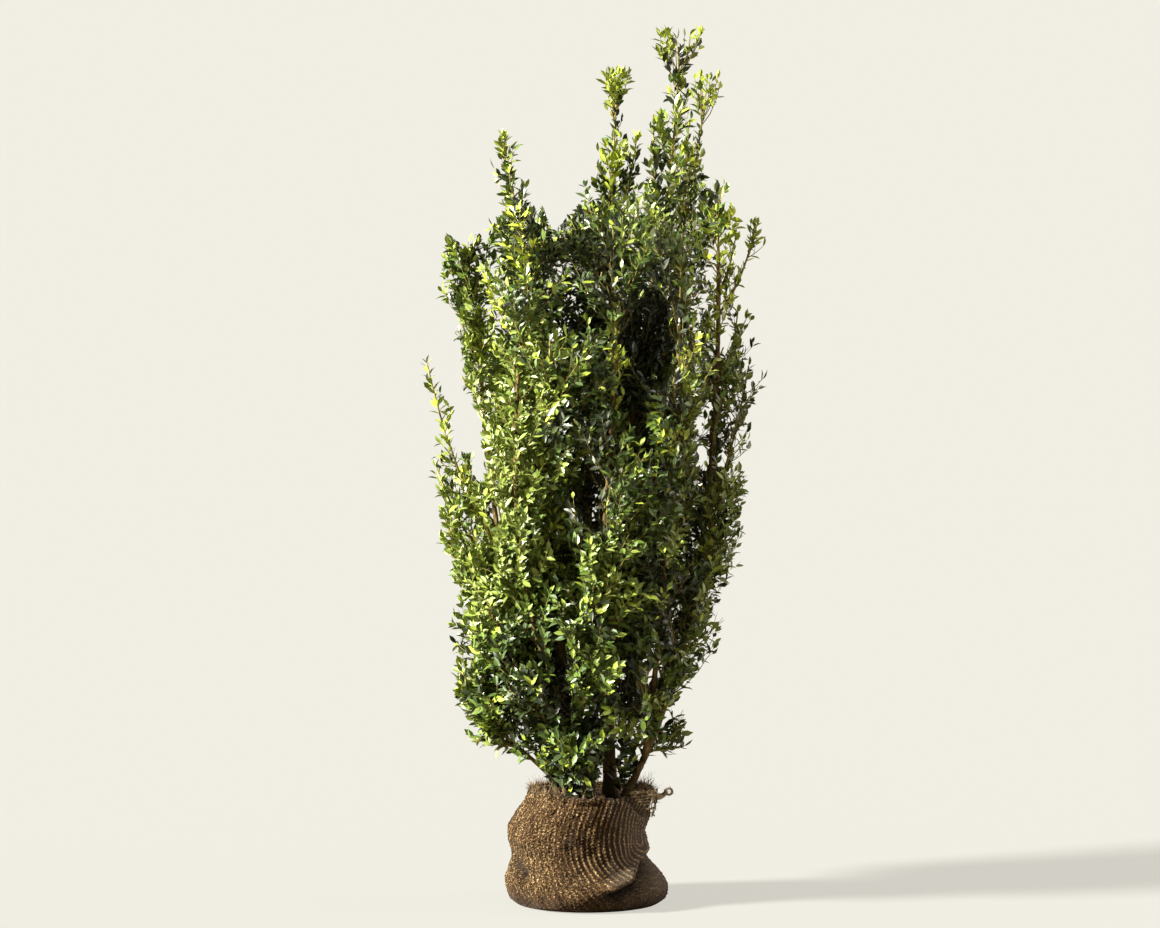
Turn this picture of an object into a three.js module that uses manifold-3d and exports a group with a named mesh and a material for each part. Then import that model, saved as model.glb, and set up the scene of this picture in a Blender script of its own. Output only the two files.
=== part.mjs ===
// A small-leaved holly lifted for planting: a narrow crown of upright stems on a soil ball wrapped in jute.
// Millimetres, +Z up, +X to the right, +Y to the back. The origin is the centre of the ball's underside.
import * as THREE from "three";
import { mergeVertices } from "three/addons/utils/BufferGeometryUtils.js";
import Module from "manifold-3d";

const wasm = await Module();
wasm.setup();

// Clearance between pieces that touch, and between a leaf and a limb that it has to miss
const GAP = 0.3;
const LEAF_CLEARANCE = 2;

// Root ball: [height, half width, centre x] of the sack, from its foot past the pinched waist to its rim
const SACK_LEVELS = [
  [0, 142, 2],
  [10, 154, 2],
  [34, 161, 1],
  [62, 151, -6],
  [94, 134, -15],
  [135, 138, -17],
  [172, 134, -9],
  [203, 125, 4],
  [222, 120, 9],
];
const SACK_DEPTH = 0.94; // front to back over side to side
const SACK_SIDES = 28;
const WALL = 4;
const SOIL_INSET = 5; // room for the cloth's folds inside the wall; the ball rests on the cloth's floor
const RIM_ROLL = 5;
const RIM_WAVE = { height: 4, waves: 5, swells: 2, phase: 40 }; // the rim's ups and downs, in degrees
const SOIL_TOP = 205;
const FOLD = { from: [-24, 96], to: [-72, 30], depth: 9, width: 17 }; // [degrees round, height] of a tuck
// Tail of jute at the rim: its radii at root, waist and tip, and how far its middle sags and its end rises
const EAR = { length: 54, root: 11, waist: 0.35, tip: 6, height: 214, turn: -6, sag: 8, rise: 4 };
const EAR_SIDES = 8;
const EAR_STEPS = 5;

// Limbs: three points of a bowed curve and the radii at its ends. One with `on` starts inside another limb.
const SIDES = 6;
const LIMB_STEP = 165; // length of one straight piece of a limb
const FEWEST_STEPS = 3;
const FLARE = { radius: 7, height: 26, on: 14 }; // added where a stem of radius 14 meets the soil
const COLLAR = 0.36; // clearance on a limb's corners that leaves 0.3 at its flats
const LIMBS = [
  { name: "trunk", foot: [50, 0, SOIL_TOP], thick: [14, 10.5],
    bow: [46, 4, 310], tip: [36, 6, 414] },
  { name: "leader_tall", on: "trunk", at: 1, thick: [8.5, 4.6],
    bow: [62, -46, 860], tip: [146, -26, 1310] },
  { name: "leader_middle", on: "trunk", at: 0.6, thick: [7.5, 4.4],
    bow: [-34, 110, 720], tip: [34, 50, 1270] },
  { name: "stem_left", foot: [-16, -38, SOIL_TOP], thick: [8, 4.2],
    bow: [-74, -94, 700], tip: [-126, -58, 1290] },
  { name: "stem_crossing", foot: [-42, 8, SOIL_TOP], thick: [7.5, 4.2],
    bow: [36, 26, 700], tip: [190, 64, 1320] },
  { name: "stem_right", foot: [72, -22, SOIL_TOP], thick: [7, 4.2],
    bow: [266, -66, 540], tip: [262, -56, 1270] },
  { name: "stem_far_left", foot: [-50, -22, SOIL_TOP], thick: [7, 4],
    bow: [-186, -44, 600], tip: [-216, -26, 1160] },
  { name: "stem_back", on: "trunk", at: 0.3, thick: [7, 4],
    bow: [72, 214, 600], tip: [34, 196, 1180] },
  { name: "stem_back_left", on: "stem_crossing", at: 0.1, thick: [6, 4],
    bow: [-150, 170, 560], tip: [-118, 150, 1140] },
  { name: "stem_back_right", on: "stem_back", at: 0.22, thick: [6, 4],
    bow: [196, 190, 620], tip: [196, 150, 1160] },
  { name: "stem_front", on: "stem_left", at: 0.1, thick: [6, 4],
    bow: [30, -216, 540], tip: [56, -196, 1090] },
  { name: "stem_front_left", on: "stem_left", at: 0.2, thick: [6, 4],
    bow: [-160, -200, 600], tip: [-130, -186, 1060] },
  { name: "stem_front_right", on: "stem_right", at: 0.12, thick: [6, 4],
    bow: [150, -196, 560], tip: [176, -180, 1060] },
  { name: "bough_low_left", on: "stem_far_left", at: 0.05, thick: [4.5, 3.4],
    bow: [-96, -34, 280], tip: [-146, -40, 322] },
  { name: "bough_low_right", on: "stem_right", at: 0.05, thick: [4.5, 3.4],
    bow: [104, 4, 276], tip: [132, 10, 306] },
];

// Foliage masses that end the stems and shape the top of the crown: tip, sideways reach and leaf length
const TOPS = [
  { name: "top_tallest", on: "leader_tall", tip: [188, -12, 1712],
    free: true, reach: 70, leaf: 64, twigs: 6, head: 0.8, stemLeaves: 11 },
  { name: "top_middle", on: "leader_middle", tip: [62, 40, 1630],
    free: true, reach: 54, leaf: 58, twigs: 5, head: 0.6, stemLeaves: 9 },
  { name: "top_right", on: "stem_crossing", tip: [244, 74, 1632],
    free: true, reach: 54, leaf: 58, twigs: 5, head: 0.6, stemLeaves: 9 },
  { name: "top_left", on: "stem_left", tip: [-166, -44, 1500],
    free: true, reach: 46, leaf: 56, twigs: 3, stemLeaves: 9 },
  { name: "top_broad", on: "stem_right", tip: [258, -44, 1410],
    reach: 84, leaf: 84, twigs: 4, stemLeaves: 4 },
  { name: "top_far_left", on: "stem_far_left", tip: [-252, -22, 1306],
    reach: 86, leaf: 86, twigs: 5 },
  { name: "top_back", on: "stem_back", tip: [4, 140, 1386], reach: 112, leaf: 98, twigs: 5 },
  { name: "top_back_left", on: "stem_back_left", tip: [-122, 96, 1344],
    reach: 112, leaf: 98, twigs: 5 },
  { name: "top_back_right", on: "stem_back_right", tip: [262, 92, 1366],
    reach: 104, leaf: 98, twigs: 5 },
  { name: "top_front", on: "stem_front", tip: [52, -140, 1330], reach: 116, leaf: 102, twigs: 5 },
  { name: "top_front_left", on: "stem_front_left", tip: [-80, -130, 1316],
    reach: 116, leaf: 102, twigs: 5 },
  { name: "top_front_right", on: "stem_front_right", tip: [186, -140, 1320],
    reach: 112, leaf: 98, twigs: 5 },
  { name: "low_left", on: "bough_low_left", tip: [-216, -44, 430], reach: 100, leaf: 88, twigs: 4 },
  { name: "low_right", on: "bough_low_right", tip: [184, 2, 356], reach: 84, leaf: 78, twigs: 3 },
];
// Masses that leave a limb part of the way up: free shoots at the sides, the inside, the clump at the foot
const SHOOTS = [
  { name: "side_shoot_left", on: "stem_far_left", at: 0.56, tip: [-316, -30, 1074],
    free: true, reach: 44, leaf: 54, twigs: 2, stemLeaves: 8 },
  { name: "side_shoot_right", on: "stem_right", at: 0.93, tip: [334, -20, 1330],
    free: true, reach: 40, leaf: 56, twigs: 1, stemLeaves: 5 },
  { name: "inner_low", on: "leader_tall", at: 0.16, tip: [60, -60, 760],
    reach: 120, leaf: 96, twigs: 6 },
  { name: "inner_middle", on: "stem_crossing", at: 0.3, tip: [10, 20, 950],
    reach: 125, leaf: 100, twigs: 7 },
  { name: "inner_high", on: "leader_tall", at: 0.5, tip: [96, -40, 1200],
    reach: 130, leaf: 100, twigs: 8 },
  { name: "clump_front", on: "stem_left", at: 0.05, tip: [-12, -122, 318],
    reach: 76, leaf: 70, twigs: 4 },
];

// Whorls of masses round the crown: heights of foot and tip, and the crown's radius at each height
const CROWN_CENTRE = new THREE.Vector2(14, 0);
const CROWN_RADII = [
  [250, 190],
  [420, 240],
  [640, 285],
  [860, 312],
  [1100, 318],
  [1300, 300],
];
const CROWN_DEPTH = 0.94;
const CROWN_FRINGE = 40; // how far a whorl's leaves may stand out of that radius
const NOTCH = { turn: 186, above: 900, depth: 0.36, width: 26 }; // room behind the free shoot on the left
const WHORLS = [
  { name: "skirt", turns: [-128, -62, 55, 125], foot: 290, tip: 470, reach: 105, leaf: 92, twigs: 6 },
  { name: "lower", turns: [30, 90, 150, 210, 270, 330],
    foot: 360, tip: 640, reach: 130, leaf: 106, twigs: 8 },
  { name: "middle", turns: [-18, 42, 102, 162, 222, 282],
    foot: 560, tip: 870, reach: 135, leaf: 108, twigs: 8 },
  { name: "upper", turns: [12, 72, 132, 192, 252, 312],
    foot: 790, tip: 1110, reach: 135, leaf: 108, twigs: 8 },
];
const WHORL_FOOT = 0.46; // how far out a whorl's masses start, of the crown's radius
const WHORL_INSET = 0.35; // how far inside the crown's edge their stems end, of their reach
const FORK_SPAN = [0.05, 0.93]; // the stretch of a limb that such a mass may start on

// Growth rule: twigs leave a mass's stem at the golden angle and carry alternate leaves, as its end does
const GOLDEN_ANGLE = Math.PI * (3 - Math.sqrt(5));
const SPINDLE_FOOT = 0.34; // reach where the swelling of a mass is nought, of its full reach
const SPINDLE_START = 0.12; // how far into its swelling a mass begins, of its stem's length
const SPINDLE_SPAN = 1.2; // length of the whole swelling, of its stem's length
const HEAD_FROM = 0.75; // where on its stem a leader's broad head begins
const TOP_BOW = 0.4; // how far a top's stem carries its limb's line on, of the way to its tip
const SHOOT_BOW = [0.62, 0.62, 0.34]; // how far out, and how far up, a shoot's stem bows
const STATIONS = 24; // points on a mass's stem that its reach is measured from
const STEM_THICK = [4.2, 2];
const STEM_STEPS = 4;
const TWIG_SPAN = [0.1, 0.9]; // the stretch of a stem that carries twigs
const TWIG_RISE = 42; // degrees from square to the stem
const TWIG_RISE_VARIES = 12;
const TWIG_LENGTH_VARIES = 0.2;
const TWIG_END = 0.4; // how far inside the spindle a twig ends, of a leaf's length
const SHORTEST_TWIG = 0.5; // of a leaf's length
const TWIG_THICK = 2.8; // at its foot; a twig runs out to a point
const TWIG_CHECKS = [0.35, 0.55, 0.75, 1]; // places along a twig that are tried against what is near
const LEAF_STATIONS = [0.3, 0.48, 0.63, 0.76]; // along a twig
const LEAF_SIZES = [1, 0.82, 0.66]; // a leaf that doesn't fit is tried smaller, then skipped
const LEAF_SIZE_VARIES = 0.24;
const FEWEST_LEAVES = 2; // a twig that would carry fewer is skipped
const STEM_LEAVES = 4; // on the stem itself, where a mass doesn't say
const STEM_LEAF = 0.9; // length of such a leaf, of the mass's leaf length
const STEM_LEAF_SPAN = [0.3, 0.96];
const STEM_LEAF_LEAN = 44; // degrees from square to the stem
const TIP_LEAF_SUNK = 6;
const LEAF_SPREAD = 44; // degrees from the twig
const FACE_OUT = 0.85; // how far leaves look outwards and how far to the sky
const FACE_UP = 0.5;
const LEAF_WIDTH = 0.54; // of its length
const LEAF_THICKNESS = 0.02; // of its length, above and again below the midrib
const LEAF_WIDEST = 0.48; // of its length from the foot
const LEAF_THICKEST = 0.3;
// Points of a leaf's edge that are tried against its neighbours: [along it, across it from the midrib]
const LEAF_OUTLINE = [
  [1, 0],
  [LEAF_WIDEST, 1],
  [LEAF_WIDEST, -1],
  [0.75, 0.5],
  [0.75, -0.5],
  [0.25, 0.5],
  [0.25, -0.5],
];
const CELL_MARGIN = 4; // kept free on each side of the line between two masses
const LOWEST_LEAF = 240; // clear of the sack's rim

const FINISHES = {
  soil: { color: 0x2e241a, roughness: 1 },
  burlap: { color: 0x87693f, roughness: 0.95 },
  bark: { color: 0x5a4a2c, roughness: 0.8 },
  leaf: { color: 0x4c5c22, roughness: 0.45 },
};

const MERGE = 1e-4; // corners closer than this are one
const STEEP = 0.7; // height over length of a curve that counts as upright
const { degToRad: radians, radToDeg: degrees, lerp } = THREE.MathUtils;
const vector = (p) => new THREE.Vector3(...p);

// Repeatable draws between 0 and 1
function seededRandom(seed) {
  let state = seed;
  return () => {
    state = (state + 0x6d2b79f5) | 0;
    let t = Math.imul(state ^ (state >>> 15), 1 | state);
    t = (t + Math.imul(t ^ (t >>> 7), 61 | t)) ^ t;
    return ((t ^ (t >>> 14)) >>> 0) / 4294967296;
  };
}

// A value between the rows of a table whose first column rises
function between(rows, at, column) {
  const next = rows.findIndex((row) => row[0] >= at);
  if (next === 0) return rows[0][column];
  if (next < 0) return rows.at(-1)[column];
  const [low, high] = [rows[next - 1], rows[next]];
  return THREE.MathUtils.mapLinear(at, low[0], high[0], low[column], high[column]);
}

function solidOf(geometry) {
  const bare = geometry.clone();
  bare.deleteAttribute("normal");
  bare.deleteAttribute("uv");
  const merged = mergeVertices(bare, MERGE);
  const triVerts = new Uint32Array(merged.index.array);
  const vertProperties = new Float32Array(merged.attributes.position.array);
  return new wasm.Manifold(new wasm.Mesh({ numProp: 3, vertProperties, triVerts }));
}

function geometryOf(solid) {
  const { vertProperties, triVerts } = solid.getMesh();
  const geometry = new THREE.BufferGeometry();
  geometry.setAttribute("position", new THREE.BufferAttribute(vertProperties, 3));
  geometry.setIndex(new THREE.BufferAttribute(triVerts, 1));
  return geometry;
}

// The largest body of a fused solid, without loose scraps or sealed hollows
function mainBody(solid) {
  return solid.decompose().reduce((best, body) => (body.volume() > best.volume() ? body : best));
}

function makeMesh(name, geometry, finish) {
  geometry.deleteAttribute("normal");
  geometry.computeVertexNormals();
  const material = new THREE.MeshStandardMaterial({ ...finish, metalness: 0 });
  const mesh = new THREE.Mesh(geometry, material);
  mesh.name = name;
  return mesh;
}

// ---- Root ball ----

// How far the sack's wall is drawn in at the tuck where the cloth folds under on the front right
function foldDepth(turn, height) {
  const [turnA, heightA] = FOLD.from;
  const [turnB, heightB] = FOLD.to;
  const t = THREE.MathUtils.clamp((heightA - height) / (heightA - heightB), 0, 1);
  const across = (turn - lerp(turnA, turnB, t)) / FOLD.width;
  const above = (height - THREE.MathUtils.clamp(height, heightB, heightA)) / FOLD.width;
  return FOLD.depth * Math.exp(-across * across - above * above);
}

function rimLift(turn) {
  const swell = Math.sin(radians(turn * RIM_WAVE.swells + RIM_WAVE.phase));
  return RIM_WAVE.height * Math.sin(radians(turn * RIM_WAVE.waves)) * swell;
}

// Turns a round lathe into the sack: each vertex at radius r and height h moves to the sack's own plan
function shapeAsSack(geometry) {
  const p = geometry.attributes.position;
  const v = new THREE.Vector3();
  for (let i = 0; i < p.count; i++) {
    v.fromBufferAttribute(p, i);
    const radius = Math.hypot(v.x, v.z);
    const turn = degrees(Math.atan2(-v.z, v.x));
    const share = radius / between(SACK_LEVELS, v.y, 1);
    const drawn = radius - foldDepth(turn, v.y) * share ** 4;
    const lift = v.y > SOIL_TOP + 1 ? rimLift(turn) : 0;
    const x = drawn * Math.cos(radians(turn)) + between(SACK_LEVELS, v.y, 2);
    const y = drawn * Math.sin(radians(turn)) * SACK_DEPTH;
    p.setXYZ(i, x, y, v.y + lift);
  }
  return geometry;
}

// The lathe turns about its own Y axis, which becomes the ball's height
function sackLathe(profile) {
  const geometry = new THREE.LatheGeometry(profile, SACK_SIDES);
  geometry.deleteAttribute("normal");
  geometry.deleteAttribute("uv");
  return shapeAsSack(mergeVertices(geometry, MERGE));
}

function burlapWrap() {
  const outer = SACK_LEVELS.map(([height, half]) => new THREE.Vector2(half, height));
  const inner = SACK_LEVELS.filter(([height]) => height > WALL)
    .map(([height, half]) => new THREE.Vector2(half - WALL, height))
    .reverse();
  const top = SACK_LEVELS.at(-1);
  const roll = new THREE.Vector2(top[1] - WALL / 2, top[0] + RIM_ROLL);
  const floorEdge = new THREE.Vector2(between(SACK_LEVELS, WALL, 1) - 2 * WALL, WALL);
  const profile = [
    new THREE.Vector2(0, 0),
    ...outer,
    roll,
    ...inner,
    floorEdge,
    new THREE.Vector2(0, WALL),
  ];
  return makeMesh("burlap_wrap", sackLathe(profile), FINISHES.burlap);
}

function soilBall() {
  const sideLevels = SACK_LEVELS.filter(([height]) => height > WALL && height < SOIL_TOP);
  const inset = WALL + SOIL_INSET;
  const profile = [
    new THREE.Vector2(0, WALL + GAP),
    new THREE.Vector2(between(SACK_LEVELS, WALL, 1) - inset - 2 * WALL, WALL + GAP),
    ...sideLevels.map(([height, half]) => new THREE.Vector2(half - inset, height)),
    new THREE.Vector2(between(SACK_LEVELS, SOIL_TOP, 1) - inset - 2, SOIL_TOP),
    new THREE.Vector2(0, SOIL_TOP),
  ];
  return makeMesh("soil_ball", sackLathe(profile), FINISHES.soil);
}

// The sack's outside as one solid, fatter by the clearance, to cut what is knotted to it
function sackOutside() {
  const [rimHeight, rimHalf] = SACK_LEVELS.at(-1);
  const profile = [
    new THREE.Vector2(0, 0),
    ...SACK_LEVELS.map(([height, half]) => new THREE.Vector2(half + GAP, height)),
    new THREE.Vector2(rimHalf + GAP, rimHeight + 2 * EAR.root),
    new THREE.Vector2(0, rimHeight + 2 * EAR.root),
  ];
  return solidOf(sackLathe(profile));
}

// The twisted tail of jute that is left standing out of the rim on the right, cut to sit against the sack
function burlapEar() {
  const turn = radians(EAR.turn);
  const out = new THREE.Vector3(Math.cos(turn), Math.sin(turn), 0);
  const start = between(SACK_LEVELS, EAR.height, 1) - EAR.root;
  const foot = out.clone().multiplyScalar(start).setZ(EAR.height);
  foot.x += between(SACK_LEVELS, EAR.height, 2);
  const tip = foot.clone().addScaledVector(out, EAR.length);
  tip.z += EAR.rise;
  const bow = foot.clone().lerp(tip, 0.5);
  bow.z -= EAR.sag;
  const curve = new THREE.QuadraticBezierCurve3(foot, bow, tip);
  const knot = (t) => lerp(EAR.root, EAR.tip, t) * (1 - EAR.waist * Math.sin(Math.PI * t));
  const knotted = solidOf(limbGeometry(curve, knot, EAR_SIDES, EAR_STEPS)).subtract(sackOutside());
  return makeMesh("burlap_ear", geometryOf(mainBody(knotted)), FINISHES.burlap);
}

// ---- Limbs ----

// A closed rod along a curve; a limb that stands on the soil has its foot cut level
function limbGeometry(curve, radiusAt, sides, steps, level = false) {
  return alongCurve(new THREE.CylinderGeometry(1, 1, 1, sides, steps), curve, radiusAt, level);
}

// Bends an upright rod or cone along a curve; its X axis lies square to the reference direction
function alongCurve(rod, curve, radiusAt, level = false, facing = null) {
  rod.deleteAttribute("normal");
  rod.deleteAttribute("uv");
  const geometry = mergeVertices(rod, MERGE);
  const p = geometry.attributes.position;
  const chord = curve.getPoint(1).sub(curve.getPoint(0)).normalize();
  const steep = Math.abs(chord.z) > STEEP;
  const reference = facing ?? new THREE.Vector3(steep ? 1 : 0, 0, steep ? 0 : 1);
  for (let i = 0; i < p.count; i++) {
    const t = p.getY(i) + 0.5;
    const along = curve.getTangent(t);
    const side = reference.clone().cross(along).normalize();
    const back = side.clone().cross(along);
    const r = radiusAt(t);
    const v = curve.getPoint(t);
    v.addScaledVector(side, p.getX(i) * r).addScaledVector(back, p.getZ(i) * r);
    if (level && t < 1e-6) v.z = curve.getPoint(0).z;
    p.setXYZ(i, v.x, v.y, v.z);
  }
  return geometry;
}

function taper(limb, extra = 0) {
  const length = limb.curve.getLength();
  return (t) => {
    const flare = limb.on ? 0 : FLARE.radius * Math.exp((-t * length) / FLARE.height);
    return lerp(limb.thick[0], limb.thick[1], t) + flare * (limb.thick[0] / FLARE.on) + extra;
  };
}

// Works out each limb's curve, then its solid, cut clear of the limb that it starts in
const SAMPLES = 120;
const limbs = new Map();
for (const limb of LIMBS) {
  const parent = limbs.get(limb.on);
  const foot = parent ? parent.curve.getPoint(limb.at) : vector(limb.foot).setZ(SOIL_TOP + GAP);
  limb.curve = new THREE.QuadraticBezierCurve3(foot, vector(limb.bow), vector(limb.tip));
  limb.steps = Math.max(FEWEST_STEPS, Math.round(limb.curve.getLength() / LIMB_STEP));
  limb.radiusAt = taper(limb);
  limb.samples = Array.from({ length: SAMPLES + 1 }, (_, i) => {
    const t = i / SAMPLES;
    return { t, point: limb.curve.getPoint(t), radius: limb.radiusAt(t) };
  });
  limbs.set(limb.name, limb);
}

// A slightly fatter copy of a limb, which cuts what starts in it 0.3 mm clear
function collarOf(limb) {
  const longer = limb.curve.clone();
  const end = limb.curve.getTangent(1).multiplyScalar(GAP);
  longer.v2.add(end);
  return solidOf(limbGeometry(longer, taper(limb, COLLAR), SIDES, limb.steps));
}

const collars = new Map(LIMBS.map((limb) => [limb.name, collarOf(limb)]));

function limbMesh(limb) {
  let solid = solidOf(limbGeometry(limb.curve, limb.radiusAt, SIDES, limb.steps, !limb.on));
  if (limb.on) solid = mainBody(solid.subtract(collars.get(limb.on)));
  return makeMesh(limb.name, geometryOf(solid), FINISHES.bark);
}

// ---- Foliage masses ----

// Level, and away from the crown's middle
function outOfCrown(at) {
  return new THREE.Vector3(at.x - CROWN_CENTRE.x, at.y - CROWN_CENTRE.y, 0).normalize();
}

function crownRadius(turn, height) {
  const off = THREE.MathUtils.euclideanModulo(turn - NOTCH.turn + 180, 360) - 180;
  const drawn = height > NOTCH.above ? NOTCH.depth * Math.exp(-((off / NOTCH.width) ** 2)) : 0;
  return between(CROWN_RADII, height, 1) * (1 - drawn);
}

function crownPoint(turn, height, radius) {
  const x = CROWN_CENTRE.x + radius * Math.cos(radians(turn));
  const y = CROWN_CENTRE.y + radius * Math.sin(radians(turn)) * CROWN_DEPTH;
  return new THREE.Vector3(x, y, height);
}

// True where a point stands out of the crown's own outline
function outsideCrown(point) {
  const [x, y] = [point.x - CROWN_CENTRE.x, (point.y - CROWN_CENTRE.y) / CROWN_DEPTH];
  const turn = degrees(Math.atan2(y, x));
  return Math.hypot(x, y) > crownRadius(turn, point.z) + CROWN_FRINGE;
}

// The limb, and the place along it, that is nearest to a point
function nearestLimb(point) {
  let best = { distance: Infinity };
  for (const limb of limbs.values()) {
    for (const { t, point: sample } of limb.samples) {
      if (t <= FORK_SPAN[0] || t >= FORK_SPAN[1]) continue;
      const distance = sample.distanceTo(point);
      if (distance < best.distance) best = { distance, on: limb.name, at: t };
    }
  }
  return best;
}

// A whorl's masses stand evenly round the crown, each starting on the limb nearest to its foot
function whorlMasses(whorl) {
  return whorl.turns.map((turn, i) => {
    const radius = crownRadius(turn, whorl.tip);
    const tip = crownPoint(turn, whorl.tip, radius - whorl.reach * WHORL_INSET);
    const wanted = crownPoint(turn, whorl.foot, radius * WHORL_FOOT);
    const { on, at } = nearestLimb(wanted);
    return { ...whorl, name: `${whorl.name}_${i + 1}`, on, at, tip: tip.toArray() };
  });
}

const masses = [...TOPS, ...WHORLS.flatMap(whorlMasses), ...SHOOTS];

// A mass's own stem leaves its limb outwards and then turns up; one on a limb's tip carries straight on
masses.forEach((mass, i) => {
  const limb = limbs.get(mass.on);
  const tip = vector(mass.tip);
  const ends = mass.at === undefined;
  const foot = limb.curve.getPoint(ends ? 1 : mass.at);
  const bow = foot.clone();
  if (ends) {
    const along = limb.curve.getTangent(1);
    foot.addScaledVector(along, GAP);
    bow.addScaledVector(along, foot.distanceTo(tip) * TOP_BOW);
  } else {
    bow.add(tip.clone().sub(foot).multiply(vector(SHOOT_BOW)));
  }
  mass.seed = i + 1;
  mass.stemLeaves = mass.stemLeaves ?? STEM_LEAVES;
  mass.curve = new THREE.QuadraticBezierCurve3(foot, bow, tip);
  mass.stations = mass.curve.getPoints(STATIONS);
});

const distanceToStem = (mass, point) => Math.min(...mass.stations.map((s) => s.distanceTo(point)));

// A point belongs to a mass when it is within reach of its stem and no other mass has a better claim on it
function inOwnSpace(mass, point) {
  const own = distanceToStem(mass, point) / mass.reach;
  if (own > 1 || point.z < LOWEST_LEAF || (mass.turns && outsideCrown(point))) return false;
  const margin = CELL_MARGIN / mass.reach;
  const claims = masses.filter((other) => other !== mass);
  return claims.every((other) => distanceToStem(other, point) / other.reach > own + margin);
}

// Sideways reach of a mass at a share of its stem's length: narrow at the foot, full in the middle, and
// broad again at the top where a leader forks
function spindle(mass, t) {
  const swell = Math.sin((Math.PI * (t + SPINDLE_START)) / SPINDLE_SPAN);
  const head = t > HEAD_FROM ? (mass.head ?? 0) : 0;
  return mass.reach * Math.max(lerp(SPINDLE_FOOT, 1, swell), head);
}

function clearOfLimbs(touches) {
  return !LIMBS.some((limb) => limb.samples.some(touches));
}

// A direction square to a curve, turned round it by the golden angle at each step
function outwards(curve, t, phase, step) {
  const along = curve.getTangent(t);
  const side = new THREE.Vector3(0, 1, 0).cross(along).normalize();
  return { along, out: side.applyAxisAngle(along, phase + step * GOLDEN_ANGLE) };
}

// Twigs square to the stem, raised towards its tip, that end inside the spindle
function twigsOf(mass, random) {
  const phase = random() * Math.PI * 2;
  return Array.from({ length: mass.twigs }, (_, i) => {
    const t = lerp(...TWIG_SPAN, (i + 0.5) / mass.twigs);
    const { along, out } = outwards(mass.curve, t, phase, i);
    const rise = radians(TWIG_RISE + TWIG_RISE_VARIES * (random() - 0.5));
    const direction = out.clone().multiplyScalar(Math.cos(rise)).addScaledVector(along, Math.sin(rise));
    const room = spindle(mass, t) / Math.cos(rise) - TWIG_END * mass.leaf;
    const share = 1 + TWIG_LENGTH_VARIES * (random() - 0.5);
    const length = Math.max(SHORTEST_TWIG * mass.leaf, room) * share;
    const base = mass.curve.getPoint(t);
    return { base, out, direction, tip: base.clone().addScaledVector(direction, length) };
  });
}

function twigFits(mass, twig) {
  const points = TWIG_CHECKS.map((s) => twig.base.clone().lerp(twig.tip, s));
  const keepOff = TWIG_THICK + LEAF_CLEARANCE;
  const touches = ({ point, radius }) => points.some((p) => p.distanceTo(point) < radius + keepOff);
  return points.every((point) => inOwnSpace(mass, point)) && clearOfLimbs(touches);
}

// Where a leaf looks: back over its own stem on a free shoot, out of the crown everywhere else
function facingOf(mass, at, out) {
  return mass.free ? out.clone().negate() : outOfCrown(at);
}

// A leaf's own axes: along it, across it, and up out of its face, which also looks to the sky
function leafAxes(direction, facing, sideways) {
  const beside = direction.clone().cross(facing).normalize();
  const spread = radians(LEAF_SPREAD) * sideways;
  const along = direction.clone().multiplyScalar(Math.cos(spread));
  along.addScaledVector(beside, Math.sin(spread));
  const up = facing.clone().multiplyScalar(FACE_OUT).setZ(facing.z * FACE_OUT + FACE_UP);
  up.addScaledVector(along, -up.dot(along)).normalize();
  return { along, across: along.clone().cross(up), up };
}

function leafFits(mass, leaf) {
  const { root, along, across, up } = leaf;
  const half = leaf.length * LEAF_WIDTH * 0.5;
  const at = (u, v) =>
    root.clone().addScaledVector(along, u * leaf.length).addScaledVector(across, v * half);
  const edge = LEAF_OUTLINE.map(([u, v]) => at(u, v));
  if (!edge.every((point) => inOwnSpace(mass, point))) return false;
  const offset = new THREE.Vector3();
  return clearOfLimbs(({ point, radius }) => {
    offset.subVectors(point, root);
    const keepOff = radius + LEAF_CLEARANCE;
    const u = offset.dot(along);
    const inLine = u > -keepOff && u < leaf.length + keepOff;
    const beside = Math.abs(offset.dot(across)) < half + keepOff;
    return inLine && beside && Math.abs(offset.dot(up)) < keepOff + leaf.length * LEAF_THICKNESS;
  });
}

// Six faces: a ridge along the midrib falls to two edges over a flat underside
function leafSolid({ root, along, across, up, length }) {
  const corner = (u, v, w) =>
    root.clone()
      .addScaledVector(along, u * length)
      .addScaledVector(across, (v * LEAF_WIDTH * length) / 2)
      .addScaledVector(up, w * LEAF_THICKNESS * length);
  const foot = corner(0, 0, 0);
  const tip = corner(1, 0, 0);
  const left = corner(LEAF_WIDEST, -1, -1);
  const right = corner(LEAF_WIDEST, 1, -1);
  const ridge = corner(LEAF_THICKEST, 0, 1);
  const faces = [
    [foot, right, ridge],
    [ridge, right, tip],
    [tip, left, ridge],
    [ridge, left, foot],
    [foot, left, right],
    [right, left, tip],
  ];
  return solidOf(new THREE.BufferGeometry().setFromPoints(faces.flat()));
}

// Sets a leaf at the largest size that keeps to its mass's space and misses the leaves there, or not at all
function setLeaf(mass, leaves, root, axes, length) {
  for (const share of LEAF_SIZES) {
    const leaf = { root, ...axes, length: length * share };
    if (!leafFits(mass, leaf)) continue;
    const solid = leafSolid(leaf);
    if (leaves.some((other) => !other.intersect(solid).isEmpty())) continue;
    leaves.push(solid);
    return;
  }
}

// A three-sided point whose two upper faces look to the sides where its leaves stand
function twigSolid(line) {
  const cone = new THREE.ConeGeometry(1, 1, 3, 1);
  return solidOf(alongCurve(cone, line, () => TWIG_THICK, false, outOfCrown(line.getPoint(0.5))));
}

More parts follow.
